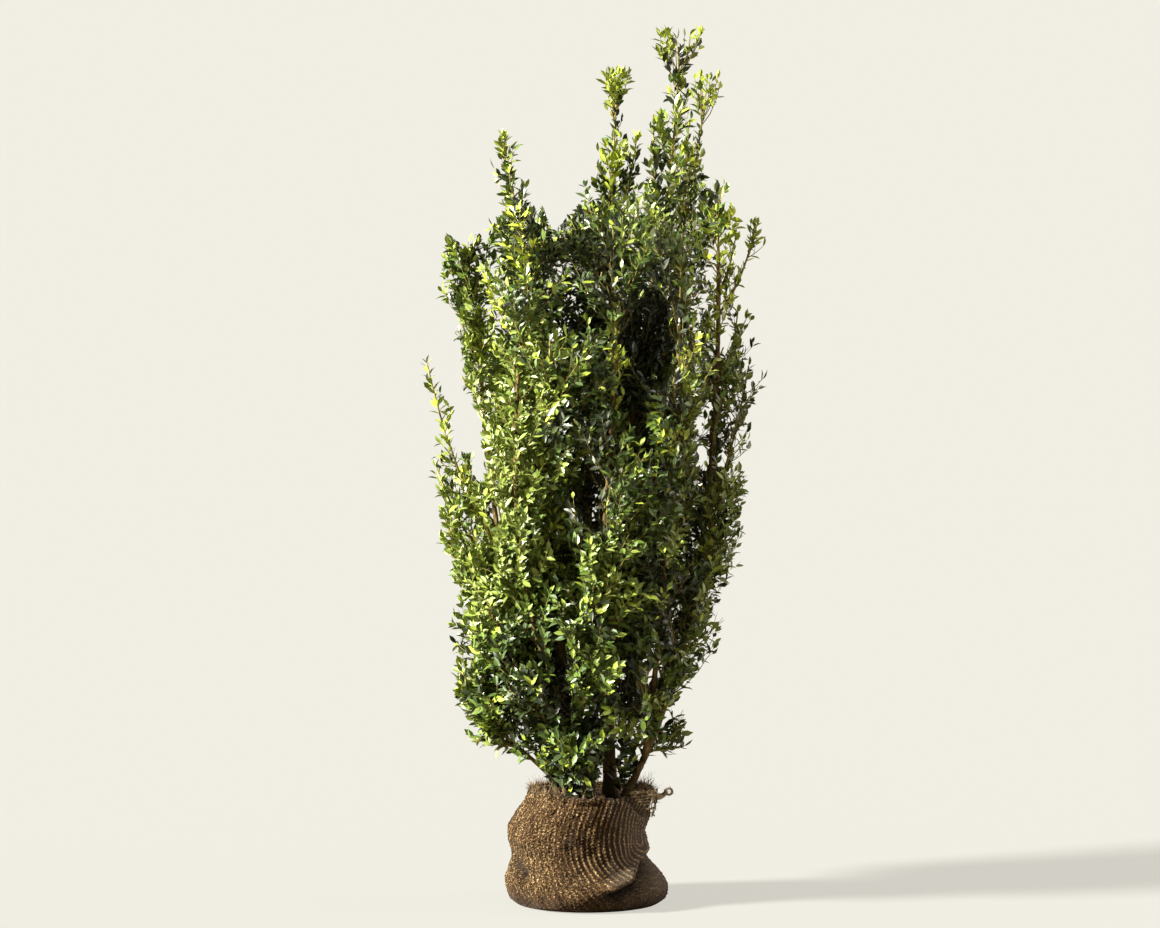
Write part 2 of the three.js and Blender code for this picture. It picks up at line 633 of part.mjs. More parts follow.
function growTwigs(mass, parts, leaves, random) {
  for (const twig of twigsOf(mass, random)) {
    const sizes = LEAF_STATIONS.map(() => mass.leaf * (1 + LEAF_SIZE_VARIES * (random() - 0.5)));
    if (!twigFits(mass, twig)) continue;
    const line = new THREE.LineCurve3(twig.base, twig.tip);
    const before = leaves.length;
    LEAF_STATIONS.forEach((s, i) => {
      const root = line.getPoint(s);
      const axes = leafAxes(twig.direction, facingOf(mass, root, twig.out), i % 2 ? 1 : -1);
      setLeaf(mass, leaves, root, axes, sizes[i]);
    });
    if (leaves.length - before < FEWEST_LEAVES) {
      leaves.length = before;
      continue;
    }
    parts.push(twigSolid(line));
  }
}

// Leaves that sit on the stem itself, and the one that ends it
function growStemLeaves(mass, leaves, random) {
  const phase = random() * Math.PI * 2;
  const length = mass.leaf * STEM_LEAF;
  for (let i = 0; i < mass.stemLeaves; i++) {
    const t = lerp(...STEM_LEAF_SPAN, (i + 0.5) / mass.stemLeaves);
    const { along, out } = outwards(mass.curve, t, phase, i);
    const lean = radians(STEM_LEAF_LEAN);
    const direction = out.clone().multiplyScalar(Math.cos(lean)).addScaledVector(along, Math.sin(lean));
    const root = mass.curve.getPoint(t);
    setLeaf(mass, leaves, root, leafAxes(direction, facingOf(mass, root, out), 0), length);
  }
  const { along, out } = outwards(mass.curve, 1, phase, 0);
  const root = mass.curve.getPoint(1).addScaledVector(along, -TIP_LEAF_SUNK);
  setLeaf(mass, leaves, root, leafAxes(along, facingOf(mass, root, out), 0), length);
}

function massMesh(mass) {
  const random = seededRandom(mass.seed);
  const stemRadius = (t) => lerp(...STEM_THICK, t);
  const parts = [solidOf(limbGeometry(mass.curve, stemRadius, 3, STEM_STEPS))];
  const leaves = [];
  growTwigs(mass, parts, leaves, random);
  growStemLeaves(mass, leaves, random);
  const fused = wasm.Manifold.union([...parts, ...leaves]).subtract(collars.get(mass.on));
  return makeMesh(mass.name, geometryOf(mainBody(fused)), FINISHES.leaf);
}

// ---- The plant ----

const holly = new THREE.Group();
const rootBall = new THREE.Group();
rootBall.add(burlapWrap(), soilBall(), burlapEar());
const wood = new THREE.Group();
wood.add(...LIMBS.map(limbMesh));
const foliage = new THREE.Group();
foliage.add(...masses.map(massMesh));
holly.add(rootBall, wood, foliage);

export default holly;
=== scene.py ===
"""A small-leaved holly on its jute-wrapped root ball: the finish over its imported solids, in metres."""
import math

import bpy
import numpy as np
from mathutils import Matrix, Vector, kdtree


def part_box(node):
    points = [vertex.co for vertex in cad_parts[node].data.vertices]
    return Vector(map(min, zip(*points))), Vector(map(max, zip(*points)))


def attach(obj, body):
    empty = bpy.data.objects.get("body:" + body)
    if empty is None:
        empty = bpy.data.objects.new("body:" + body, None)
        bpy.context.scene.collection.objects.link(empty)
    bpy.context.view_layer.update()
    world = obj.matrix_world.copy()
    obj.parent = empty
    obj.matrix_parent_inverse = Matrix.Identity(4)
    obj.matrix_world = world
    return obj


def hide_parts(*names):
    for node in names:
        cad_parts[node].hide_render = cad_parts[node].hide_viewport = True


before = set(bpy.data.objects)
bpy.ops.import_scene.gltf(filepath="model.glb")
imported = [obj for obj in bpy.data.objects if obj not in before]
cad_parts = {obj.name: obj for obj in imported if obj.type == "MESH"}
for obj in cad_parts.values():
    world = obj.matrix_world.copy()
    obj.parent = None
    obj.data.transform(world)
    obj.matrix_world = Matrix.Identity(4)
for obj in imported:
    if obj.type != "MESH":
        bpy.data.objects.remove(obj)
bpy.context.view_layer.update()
bpy.ops.object.select_all(action="DESELECT")

# ---- Jute sack ----
# One piece of coarse ribbed jute, drawn up round the ball of soil and gathered at its mouth. A flat grid of
# cloth is rolled into the sack's outline. It then takes its lumps and tucks, the ribs that swirl round the
# bulge on the right, and the stitches in each rib. It rolls over at the rim and ends under the soil.
MM = 0.001
SACK_HEIGHTS = (0, 10, 34, 62, 94, 135, 172, 203, 222)
SACK_HALF_WIDTHS = (142, 154, 161, 151, 134, 138, 134, 125, 120)
SACK_CENTRES = (2, 2, 1, -6, -15, -17, -9, 4, 9)
SACK_DEPTH = 0.94  # front to back over side to side
OUTLINE_ROUNDED = 6  # mm over which the corners between the levels are rounded off
FOOT_EDGE = 14  # but for this stretch over the floor, where the foot's edge stays sharp
RIM_HEIGHT = 222
RIM_ROUND = 5
RIM_LOOSE, LOOSE_OVER = 206, 14  # from here up the edge wanders up and down, and fully so much higher
RIM_DIP, DIP_SPREAD = 8, 42  # how far the rim sags in front, and over how many degrees to each side
ROLL_EXTRA, ROLL_TURN, ROLL_SPREAD = 4.5, -128, 48  # the roll is thickest at the left of the front
SOIL_TOP = 205
CLOTH_ROUND, CLOTH_UP = 512, 138  # cells of cloth round the sack, and rows of it up the wall
RIB_SPACING = 12.0
STITCH = 7.0
RIB_RADIUS = 146  # of the level on which the ribs are laid out
PLAIN_RADIUS = 145  # of the plain round sack on which the cloth's unevenness is laid out
SWIRL_TURN, SWIRL_HEIGHT = -26, 132  # degrees round from the right and height of what the ribs circle
CLEAN_TURN, CLEAN_SPREAD = -28, 78  # where the ribs show most, and over how many degrees they fade
LEAST_RIBBED = 0.24
CREASE_TURN, CREASE_SPREAD = -30, 50  # where the cloth bulges out under the long crease
LUMPS = [(3.2, 90, 3), (1.6, 34, 4)]  # how far out, how large and the seed
GATHER_FROM = 178  # the mouth is gathered from here up
PLEATS, PLEAT_DEPTH = 11, 2.2
LIT_RIGHT_FROM, LIT_RIGHT_TO, LIT_RIGHT = 30, 150, 0.3  # the right side is painted paler, as if lit from the right, from here to here, by this share
FOOT_DARKER_TOP, FOOT_DARKER = 50, 0.8  # how high up the cloth is darker towards the bottom, and how dark it is at the floor
# Tucks: [degrees round, height] along each, its depth, and its widths under the lip and on the open side
TUCKS = [
    ([(2, 112), (-12, 100), (-28, 88), (-44, 66), (-55, 50), (-68, 39), (-84, 26)], 24, 5, 16),
    ([(-44, 58), (-55, 46), (-66, 37), (-75, 32)], 20, 5, 7),
    ([(-24, 88), (-15, 60), (-20, 34)], 7, 4, 7),
    ([(-176, 99), (-162, 88), (-148, 76), (-136, 56)], 16, 5, 10),
    ([(-140, 74), (-112, 70), (-84, 66)], 4, 10, 10),
    ([(-60, 232), (-40, 196), (-20, 174)], 7, 3.5, 6),
    ([(-8, 200), (-2, 150), (-14, 112)], 5, 5, 8),
    ([(40, 118), (66, 96), (84, 50)], 14, 5, 14),
    ([(58, 206), (84, 150), (104, 132)], 7, 5, 9),
    ([(150, 214), (126, 150), (132, 96)], 7, 6, 9),
    ([(-128, 228), (-116, 198), (-122, 176)], 4, 5, 8),
]
# Swellings of the cloth: [degrees round, height, how far out, half width round and half height]
SWELLINGS = [
    (-62, 92, 7, 46, 34),
    (-34, 28, 9, 40, 24),
    (-140, 150, 5, 60, 40),
    (-108, 24, 4, 90, 20),
    (40, 60, 6, 60, 40),
    (110, 130, 6, 70, 50),
]


def smooth_profile(values):
    """A table of the sack's levels as a smooth curve, every millimetre up from the floor."""
    heights = np.arange(0, 241.0)
    raw = np.interp(heights, SACK_HEIGHTS, values)
    reach = 3 * OUTLINE_ROUNDED
    kernel = np.exp(-(np.arange(-reach, reach + 1) ** 2) / (2 * OUTLINE_ROUNDED**2))
    padded = np.pad(raw, reach, mode="edge")
    soft = np.convolve(padded, kernel / kernel.sum(), mode="valid")
    keep_foot = np.clip(heights / FOOT_EDGE, 0, 1)
    return heights, raw * (1 - keep_foot) + soft * keep_foot


HALF_WIDTH = smooth_profile(SACK_HALF_WIDTHS)
CENTRE = smooth_profile(SACK_CENTRES)
WAVES = 14  # that one unevenness is made of
WAVES_REACH = 4.2  # what their sum seldom passes


def swells(size, seed):
    """The waves of a smooth unevenness with swells of the given size: their ways and their phases."""
    random = np.random.default_rng(seed)
    ways, phases = [], []
    for _ in range(WAVES):
        way = random.normal(size=3)
        ways.append(way * 2 * math.pi / (np.linalg.norm(way) * size * random.uniform(0.7, 1.5)))
        phases.append(random.uniform(0, 2 * math.pi))
    return np.array(ways).T, np.array(phases)


def unevenness(waves, points):
    return np.sin(points @ waves[0] + waves[1]).sum(axis=1) / WAVES_REACH


def rough(points, size, seed):
    """Smooth unevenness between about -1 and 1, with swells of the given size, the same at each run."""
    return unevenness(swells(size, seed), points)


def distance_to_path(path, turn, height):
    """For each point of the cloth: how many mm off a path it lies, on which side, and how far along it."""
    across = np.radians(turn) * RIB_RADIUS
    circle = 2 * math.pi * RIB_RADIUS
    nearest = np.full(len(turn), 1e9)
    side = np.zeros(len(turn))
    share = np.zeros(len(turn))
    for i, ((turn_a, height_a), (turn_b, height_b)) in enumerate(zip(path, path[1:])):
        ax, bx = math.radians(turn_a) * RIB_RADIUS, math.radians(turn_b) * RIB_RADIUS
        dx, dz = bx - ax, height_b - height_a
        offset = across - ax
        offset = (offset + circle / 2) % circle - circle / 2
        t = np.clip((offset * dx + (height - height_a) * dz) / (dx * dx + dz * dz), 0, 1)
        away = np.hypot(offset - t * dx, height - height_a - t * dz)
        closer = away < nearest
        nearest = np.where(closer, away, nearest)
        side = np.where(closer, dx * (height - height_a) - dz * offset, side)
        share = np.where(closer, (i + t) / (len(path) - 1), share)
    return nearest, side, share


def rib_place(turn, height):
    """Where a point of the cloth lies: how many ribs across, and how far along its rib in mm.

    The ribs run straight up above the height that they circle, and round it below."""
    swing = (turn - SWIRL_TURN + 180) % 360 - 180
    across = np.radians(swing) * RIB_RADIUS
    below = np.maximum(0, SWIRL_HEIGHT - height)
    ring = np.hypot(across, below)
    along = np.where(below > 0, -ring * np.arctan2(below, np.abs(across)), height - SWIRL_HEIGHT)
    return ring / RIB_SPACING, along


def under_crease(turn, height):
    """1 on the cloth that bulges out under the long crease on the right, and 0 over it."""
    turns, heights = zip(*reversed(TUCKS[0][0]))
    near = np.clip(1.6 - np.abs(turn - CREASE_TURN) / CREASE_SPREAD, 0, 1)
    return np.clip((np.interp(turn, turns, heights) - height) / 10, 0, 1) * near


def on_plain_sack(turn, height):
    """The place of a point of the cloth on a plain round sack, at which its unevenness is read."""
    angle = np.radians(turn)
    return np.stack([np.cos(angle) * PLAIN_RADIUS, np.sin(angle) * PLAIN_RADIUS, height], axis=1)


def rib_strength(turn, height):
    """How plainly the ribs show, from 0 where the jute is felted with soil to 1 where it is clean."""
    patches = rough(on_plain_sack(turn, height), 60, 6)
    from_clean = np.abs((turn - CLEAN_TURN + 180) % 360 - 180)
    clean = np.clip(1.25 - from_clean / CLEAN_SPREAD + 0.35 * patches, LEAST_RIBBED, 1)
    return clean * (1 - 0.75 * under_crease(turn, height))


def painted_crease_shade(turn, height):
    """How much painted shade darkens the creases of the cloth, from 0 to 1."""
    crease_shade = np.zeros(len(turn))
    for path, depth, under_lip, open_side in TUCKS:
        away, side, share = distance_to_path(path, turn, height)
        ends = np.clip(np.minimum(share, 1 - share) * 5, 0, 1)
        width = 0.75 * np.where(side < 0, under_lip, open_side)
        crease_shade += depth / 15 * ends * np.exp(-((away / width) ** 2))
    return np.clip(crease_shade, 0, 1)


def cloth_relief(turn, height):
    """How far the cloth stands out of the plain outline of the sack, in mm."""
    where = on_plain_sack(turn, height)
    out = sum(rise * rough(where, size, seed) for rise, size, seed in LUMPS)
    for path, depth, under_lip, open_side in TUCKS:
        away, side, share = distance_to_path(path, turn, height)
        ends = np.clip(np.minimum(share, 1 - share) * 5 + 0.25, 0, 1)
        width = np.where(side < 0, under_lip, open_side)
        out -= depth * ends * np.exp(-((away / width) ** 2))
        lip = np.exp(-(((away - 3 * under_lip) / (2 * under_lip)) ** 2))
        out += 0.42 * depth * ends * np.where(side < 0, lip, 0)
    for at_turn, at_height, rise, wide, high in SWELLINGS:
        swing = np.radians((turn - at_turn + 180) % 360 - 180) * RIB_RADIUS
        out += rise * np.exp(-((swing / wide) ** 2) - ((height - at_height) / high) ** 2)
    gather = np.clip((height - GATHER_FROM) / (RIM_HEIGHT - GATHER_FROM), 0, 1) ** 1.5
    pleats = PLEAT_DEPTH * np.sin(np.radians(turn * PLEATS + 30))
    out += gather * (pleats + 2.4 * rough(where, 26, 5))
    rib, along = rib_place(turn, height)
    ribbed = rib_strength(turn, height)
    ridge = np.cos(np.pi * rib) ** 2
    stitch = np.sin(2 * np.pi * (along / STITCH + 0.35 * np.floor(rib + 0.5) + 0.4 * rib))
    out += (0.1 + 1.0 * ribbed) * (ridge - 0.5) + (0.1 + 0.8 * ribbed) * ridge * stitch
    return out + (1.15 - 0.75 * ribbed) * rough(where, 5, 7)


def cloth_rows():
    """The rows of cloth, from the middle of the foot to the hidden edge: inset, share of width, height."""
    rows = [(0, share, 0) for share in (0, 0.15, 0.3, 0.45, 0.6, 0.75, 0.88, 0.97)]
    rows += [(0, 1, height) for height in np.linspace(0.8, RIM_HEIGHT, CLOTH_UP)]
    for angle in np.radians(np.linspace(15, 180, 12)):
        rows.append((RIM_ROUND * (1 - math.cos(angle)), 1, RIM_HEIGHT + RIM_ROUND * math.sin(angle)))
    rows += [(2 * RIM_ROUND, 1, height) for height in np.linspace(RIM_HEIGHT - 2, SOIL_TOP - 8, 9)]
    rows += [(2 * RIM_ROUND, share, SOIL_TOP - 8) for share in (0.8, 0.5, 0.2)] + [(0, 0, SOIL_TOP - 8)]
    return np.array(rows, float)


def plain_shader(name, roughness):
    """A new material with its one shader, and the tree that its pattern is built in."""
    made = bpy.data.materials.new(name)
    made.use_nodes = True
    shader = made.node_tree.nodes["Principled BSDF"]
    shader.inputs["Roughness"].default_value = roughness
    return made, made.node_tree, shader


def add_node(tree, kind, inputs=None, **settings):
    """Adds a node with its settings, and gives each input a value or joins it to another's output."""
    made = tree.nodes.new(kind)
    for key, value in settings.items():
        setattr(made, key, value)
    for key, value in (inputs or {}).items():
        if isinstance(value, bpy.types.NodeSocket):
            tree.links.new(value, made.inputs[key])
        else:
            made.inputs[key].default_value = value
    return made


def math_node(tree, operation, first, second=0.0):
    return add_node(tree, "ShaderNodeMath", {0: first, 1: second}, operation=operation).outputs[0]


def times(tree, first, second):
    return math_node(tree, "MULTIPLY", first, second)


def plus(tree, first, second):
    return math_node(tree, "ADD", first, second)


def fade(tree, value, start, end, at_start, at_end):
    """Turns a value that goes from start to end into one that goes from one share to another."""
    ends = {"Value": value, "From Min": start, "From Max": end, "To Min": at_start, "To Max": at_end}
    return add_node(tree, "ShaderNodeMapRange", ends).outputs[0]


def srgb(*levels):
    """A colour given as red, green and blue from 0 to 255 on screen, as the light it reflects."""
    return tuple(((c / 255 + 0.055) / 1.055) ** 2.4 if c > 10 else c / 3295 for c in levels) + (1,)


def colour_ramp(tree, value, stops):
    """Turns a value into a colour by [place, colour] stops."""
    ramp = add_node(tree, "ShaderNodeValToRGB", {0: value})
    elements = ramp.color_ramp.elements
    while len(elements) < len(stops):
        elements.new(0.5)
    for element, (place, colour) in zip(elements, stops):
        element.position = place
        element.color = colour
    return ramp.outputs[0]


def noise(tree, vector, scale, detail=3.0, roughness=0.55):
    inputs = {"Vector": vector, "Scale": scale, "Detail": detail, "Roughness": roughness}
    return add_node(tree, "ShaderNodeTexNoise", inputs).outputs["Fac"]


def blend(tree, factor, first, second, mode="MIX"):
    """Lays one colour over another."""
    inputs = {0: factor, 6: first, 7: second}
    return add_node(tree, "ShaderNodeMix", inputs, data_type="RGBA", blend_type=mode).outputs[2]


def add_bump(tree, shader, height, strength, distance):
    """Fine relief that the mesh is too coarse to hold."""
    inputs = {"Height": height, "Strength": strength, "Distance": distance}
    tree.links.new(add_node(tree, "ShaderNodeBump", inputs).outputs[0], shader.inputs["Normal"])


def jute_material():
    """Ribbed jute: straw stitches over dark gaps, soil stains, a right side painted pale as if lit, painted
    shade in the creases and a foot darker towards the bottom.
    """
    made, tree, shader = plain_shader("jute", 0.95)
    shader.inputs["Sheen Weight"].default_value = 0.04
    shader.inputs["Specular IOR Level"].default_value = 0.15
    place = add_node(tree, "ShaderNodeSeparateXYZ", {0: add_node(tree, "ShaderNodeUVMap").outputs[0]})
    rib, along = place.outputs[0], place.outputs[1]
    body = add_node(tree, "ShaderNodeTexCoord").outputs["Object"]
    across, _, height = add_node(tree, "ShaderNodeSeparateXYZ", {0: body}).outputs
    ribbed = add_node(tree, "ShaderNodeAttribute", attribute_name="ribbed").outputs["Fac"]
    wave = math_node(tree, "COSINE", times(tree, rib, math.pi))
    ridge = math_node(tree, "POWER", times(tree, wave, wave), 1.7)
    slant = plus(tree, times(tree, rib, 3.2), times(tree, along, 0.16))
    strand = add_node(tree, "ShaderNodeCombineXYZ", {0: slant, 1: times(tree, along, 0.3)}).outputs[0]
    dash = noise(tree, strand, 1.0, 2.0)
    fibre = noise(tree, body, 300.0, 5.0, 0.7)
    chain = times(tree, plus(tree, dash, 0.12), ridge)
    felted = times(tree, math_node(tree, "SUBTRACT", fibre, 0.36), 1.85)
    stitched = plus(tree, times(tree, chain, 0.5), times(tree, felted, 0.42))
    share = add_node(tree, "ShaderNodeMix", {0: ribbed, 2: felted, 3: stitched}).outputs[0]
    woven = times(tree, share, 1.5)
    cloth = colour_ramp(
        tree,
        woven,
        [
            (0.15, srgb(21, 13, 5)),
            (0.35, srgb(58, 43, 21)),
            (0.52, srgb(93, 70, 36)),
            (0.79, srgb(206, 186, 148)),
        ],
    )
    stain = colour_ramp(
        tree,
        noise(tree, body, 17.0, 5.0, 0.65),
        [(0.32, srgb(150, 124, 96)), (0.5, srgb(216, 202, 178)), (0.66, srgb(255, 250, 240))],
    )
    stained = blend(tree, 0.85, cloth, stain, "MULTIPLY")
    # Painted light: the cloth's right side is made paler in colour, standing in for light from the right.
    painted_right_light = fade(tree, across, LIT_RIGHT_FROM * MM, LIT_RIGHT_TO * MM, 0.0, LIT_RIGHT)
    right_lit_cloth = blend(tree, painted_right_light, stained, srgb(150, 139, 122))
    # Painted shade: the cloth's colour is darkened along the creases of the tucks.
    crease_shade = add_node(tree, "ShaderNodeAttribute", attribute_name="painted_crease_shade").outputs["Fac"]
    crease_shaded = blend(tree, times(tree, crease_shade, 0.8), right_lit_cloth, srgb(26, 18, 11))
    # The cloth is darker towards the bottom, fading out at this height.
    foot_darker = fade(tree, height, 0.0, FOOT_DARKER_TOP * MM, FOOT_DARKER, 0.0)
    tree.links.new(blend(tree, foot_darker, crease_shaded, srgb(52, 36, 20)), shader.inputs["Base Color"])
    add_bump(tree, shader, plus(tree, woven, times(tree, fibre, 0.4)), 0.55, 0.002)
    return made


def points_of(mesh):
    """The points of a mesh, one row for each."""
    flat = np.empty(len(mesh.vertices) * 3)
    mesh.vertices.foreach_get("co", flat)
    return flat.reshape(-1, 3)


def roll_cloth():
    """Rolls the flat grid into the sack, closes its seam and its two poles, and lays the ribs out on it."""
    rows = cloth_rows()
    bpy.ops.mesh.primitive_grid_add(x_subdivisions=CLOTH_ROUND, y_subdivisions=len(rows) - 1, size=2)
    cloth = bpy.context.object
    cloth.name = cloth.data.name = "jute_sack"
    flat = points_of(cloth.data)
    turn = flat[:, 0] * 180
    row = (flat[:, 1] + 1) / 2 * (len(rows) - 1)
    inset, share, height = (np.interp(row, np.arange(len(rows)), column) for column in rows.T)
    half = np.interp(height, *HALF_WIDTH)
    stands_out = share**4 * np.clip(1 - inset / (2.4 * RIM_ROUND), 0.2, 1) * np.clip(height / 6, 0, 1)
    radius = (half - inset) * share + cloth_relief(turn, height) * stands_out
    rolled = ROLL_EXTRA * np.exp(-(((turn - ROLL_TURN) / ROLL_SPREAD) ** 2))
    rolled *= np.exp(-(((height - RIM_HEIGHT) / 7) ** 2))
    radius += rolled * np.clip(1 - inset / RIM_ROUND, -0.4, 1) * share**4
    lift = 4 * np.sin(np.radians(turn * 5)) * np.sin(np.radians(turn * 2 + 40))
    ragged = 1.5 * np.sin(np.radians(turn * 17)) + 1.2 * np.sin(np.radians(turn * 41 + 60))
    dip = -RIM_DIP * np.exp(-(((turn + 90) / DIP_SPREAD) ** 2))
    lifted = height + (lift + ragged + dip) * np.clip((height - RIM_LOOSE) / LOOSE_OVER, 0, 1) * share**4
    x = radius * np.cos(np.radians(turn)) + np.interp(height, *CENTRE)
    y = radius * np.sin(np.radians(turn)) * SACK_DEPTH
    cloth.data.vertices.foreach_set("co", (np.stack([x, y, lifted], axis=1) * MM).ravel())
    for name, share_of in (("ribbed", rib_strength), ("painted_crease_shade", painted_crease_shade)):
        layer = cloth.data.attributes.new(name, "FLOAT", "POINT")
        layer.data.foreach_set("value", share_of(turn, height))
    rib, along = rib_place(turn, height)
    corners = np.empty(len(cloth.data.loops), int)
    cloth.data.loops.foreach_get("vertex_index", corners)
    layer = cloth.data.uv_layers.active or cloth.data.uv_layers.new(name="ribs")
    layer.data.foreach_set("uv", np.stack([rib, along], axis=1)[corners].ravel())
    bpy.ops.object.mode_set(mode="EDIT")
    bpy.ops.mesh.select_all(action="SELECT")
    bpy.ops.mesh.remove_doubles(threshold=0.00005)
    bpy.ops.mesh.normals_make_consistent(inside=False)
    bpy.ops.object.mode_set(mode="OBJECT")
    bpy.ops.object.shade_smooth()
    return cloth


jute = jute_material()
sack = roll_cloth()
sack.data.materials.append(jute)
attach(sack, "root")
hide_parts("burlap_wrap")


# ---- Frayed edge ----
# Loose jute fibres that stand out of the torn rim and lie as fuzz on the cloth. Each is a bent ribbon a few
# hairs wide. All of them are one joined mesh.
RIM_FIBRES, RIM_FIBRE_WIDTH = 1900, 1.0
FUZZ_FIBRES, FUZZ_FIBRE_WIDTH = 5200, 0.45
TUFTS, TUFT_WIDTH = (-0.062, 0.12), 0.03  # the fibres of the rim are longer here
RIBBON_STEPS = 3


def joined_mesh(name, points, faces, material):
    """One object from arrays of points and of faces that all have the same number of corners."""
    mesh = bpy.data.meshes.new(name)
    mesh.vertices.add(len(points))
    mesh.vertices.foreach_set("co", np.ascontiguousarray(points, np.float32).ravel())
    corners = faces.shape[1]
    mesh.loops.add(faces.size)
    mesh.loops.foreach_set("vertex_index", faces.ravel().astype(np.int32))
    mesh.polygons.add(len(faces))
    mesh.polygons.foreach_set("loop_start", np.arange(0, faces.size, corners, dtype=np.int32))
    mesh.polygons.foreach_set("loop_total", np.full(len(faces), corners, np.int32))
    mesh.polygons.foreach_set("use_smooth", np.full(len(faces), True))
    mesh.update(calc_edges=True)
    mesh.validate()
    mesh.materials.append(material)
    piece = bpy.data.objects.new(name, mesh)
    bpy.context.scene.collection.objects.link(piece)
    return piece


def unit(vectors):
    return vectors / np.maximum(np.linalg.norm(vectors, axis=-1, keepdims=True), 1e-12)


def ribbons(roots, ways, bends, lengths, widths):
    """Points and faces of thin flat strips that leave their roots along one way and bend to another."""
    t = np.linspace(0, 1, RIBBON_STEPS + 1)[None, :, None]
    line = roots[:, None] + (ways[:, None] * t + bends[:, None] * t * t) * lengths[:, None, None]
    flat = unit(np.cross(ways, bends + 1e-6))[:, None] * widths[:, None, None] * (1 - 0.75 * t) / 2
    points = np.stack([line - flat, line + flat], axis=2).reshape(-1, 3)
    first = np.arange(len(roots))[:, None] * 2 * (RIBBON_STEPS + 1) + np.arange(RIBBON_STEPS)[None] * 2
    faces = np.stack([first, first + 1, first + 3, first + 2], axis=-1).reshape(-1, 4)
    return points, faces


def cloth_samples(random, count, lowest, highest):
    """Points on the finished cloth between two heights, with the way that the cloth faces there."""
    where = points_of(sack.data)
    facing = np.empty(where.size)
    sack.data.vertex_normals.foreach_get("vector", facing)
    facing = facing.reshape(-1, 3)
    picked = np.flatnonzero((where[:, 2] > lowest) & (where[:, 2] < highest))
    picked = random.choice(picked, count)
    return where[picked], facing[picked]


def fibre_material(name, dark, middle, light):
    made, tree, shader = plain_shader(name, 0.9)
    body = add_node(tree, "ShaderNodeTexCoord").outputs["Object"]
    tone = colour_ramp(tree, noise(tree, body, 90.0), [(0.3, dark), (0.5, middle), (0.7, light)])
    tree.links.new(tone, shader.inputs["Base Color"])
    return made


def fray():
    """The fibres of the torn rim, and the fuzz that lies on the cloth under it."""
    random = np.random.default_rng(11)
    where, facing = cloth_samples(random, RIM_FIBRES, (RIM_HEIGHT - 1) * MM, 1)
    spin = unit(random.normal(size=(RIM_FIBRES, 3)))
    ways = unit(facing + 0.7 * spin + np.array([0, 0, 0.35]))
    bends = 0.9 * unit(random.normal(size=(RIM_FIBRES, 3)))
    tufts = sum(np.exp(-(((where[:, 0] - at) / TUFT_WIDTH) ** 2)) for at in TUFTS)
    lengths = (random.gamma(2.2, 2.6, RIM_FIBRES) + 2 + 6 * tufts * random.random(RIM_FIBRES)) * MM
    rim = ribbons(where, ways, bends, lengths, np.full(RIM_FIBRES, RIM_FIBRE_WIDTH * MM))
    where, facing = cloth_samples(random, FUZZ_FIBRES, 4 * MM, RIM_HEIGHT * MM)
    spin = random.normal(size=(FUZZ_FIBRES, 3)) * [0.6, 0.6, 1.5]
    lying = unit(spin - facing * np.sum(spin * facing, axis=1, keepdims=True))
    ways = unit(lying + facing * random.uniform(0.15, 0.8, (FUZZ_FIBRES, 1)))
    bends = -0.5 * facing + 0.4 * unit(random.normal(size=(FUZZ_FIBRES, 3)))
    lengths = random.uniform(2, 5.5, FUZZ_FIBRES) * MM
    fuzz = ribbons(where, ways, bends, lengths, np.full(FUZZ_FIBRES, FUZZ_FIBRE_WIDTH * MM))
    points = np.concatenate([rim[0], fuzz[0]])
    points[:, 2] = np.maximum(points[:, 2], 0.4 * MM)
    faces = np.concatenate([rim[1], fuzz[1] + len(rim[0])])
    return joined_mesh("jute_fray", points, faces, jute_fibre)


jute_fibre = fibre_material("jute_fibre", srgb(52, 38, 22), srgb(104, 82, 52), srgb(176, 154, 114))
frayed = fray()
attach(frayed, "root")


# ---- Tail of the sack's string ----
# The twisted jute tail that is left out of the rim on the right: two strands laid round each other, a small
# loop at the end, and the open net of strands where the weave has pulled apart below it.
TAIL_TURNS, TAIL_POINTS = 4.5, 40
TAIL_SHIFT = 0.006  # it starts so far inside the sack, and leaves as much room again for the loop
TAIL_STRAND, TAIL_THINNING = 0.0048, 0.002
TAIL_LOOP, TAIL_LOOP_STRAND = (0.0075, 0.003, 0.006), 0.0022
# The net's corners: at the rim, at the tail's root and on the sack
NET_CORNERS = ((84, -98, 230), (144, -8, 228), (132, -26, 172))
NET_STRANDS, NET_POINTS = 9, 12


def tubes(paths, radii, sides):
    """Points and faces of closed round tubes along paths that all have the same number of points."""
    paths, radii = np.asarray(paths, float), np.asarray(radii, float)
    steps = paths.shape[1]
    along = unit(np.gradient(paths, axis=1))
    chord = unit(paths[:, -1] - paths[:, 0])
    aside = np.where(np.abs(chord[:, 2:]) > 0.8, np.array([[1.0, 0, 0]]), np.array([[0, 0, 1.0]]))
    side = unit(np.cross(aside[:, None], along))
    back = np.cross(along, side)
    angle = np.linspace(0, 2 * math.pi, sides, endpoint=False)[None, None, :, None]
    ring = paths[:, :, None] + radii[:, :, None, None] * (
        side[:, :, None] * np.cos(angle) + back[:, :, None] * np.sin(angle)
    )
    ends = np.stack([paths[:, 0], paths[:, -1]], axis=1)
    points = np.concatenate([ring.reshape(len(paths), -1, 3), ends], axis=1)
    own = steps * sides + 2
    i, j = np.meshgrid(np.arange(steps - 1), np.arange(sides), indexing="ij")
    a, b = i * sides + j, i * sides + (j + 1) % sides
    walls = np.stack([a, b, b + sides, a, b + sides, a + sides], axis=-1).reshape(-1, 3)
    j = np.arange(sides)
    foot = np.stack([np.full(sides, own - 2), (j + 1) % sides, j], axis=-1)
    last = (steps - 1) * sides
    tip = np.stack([np.full(sides, own - 1), last + j, last + (j + 1) % sides], axis=-1)
    one = np.concatenate([walls, foot, tip])
    faces = (one[None] + (np.arange(len(paths)) * own)[:, None, None]).reshape(-1, 3)
    return points.reshape(-1, 3), faces


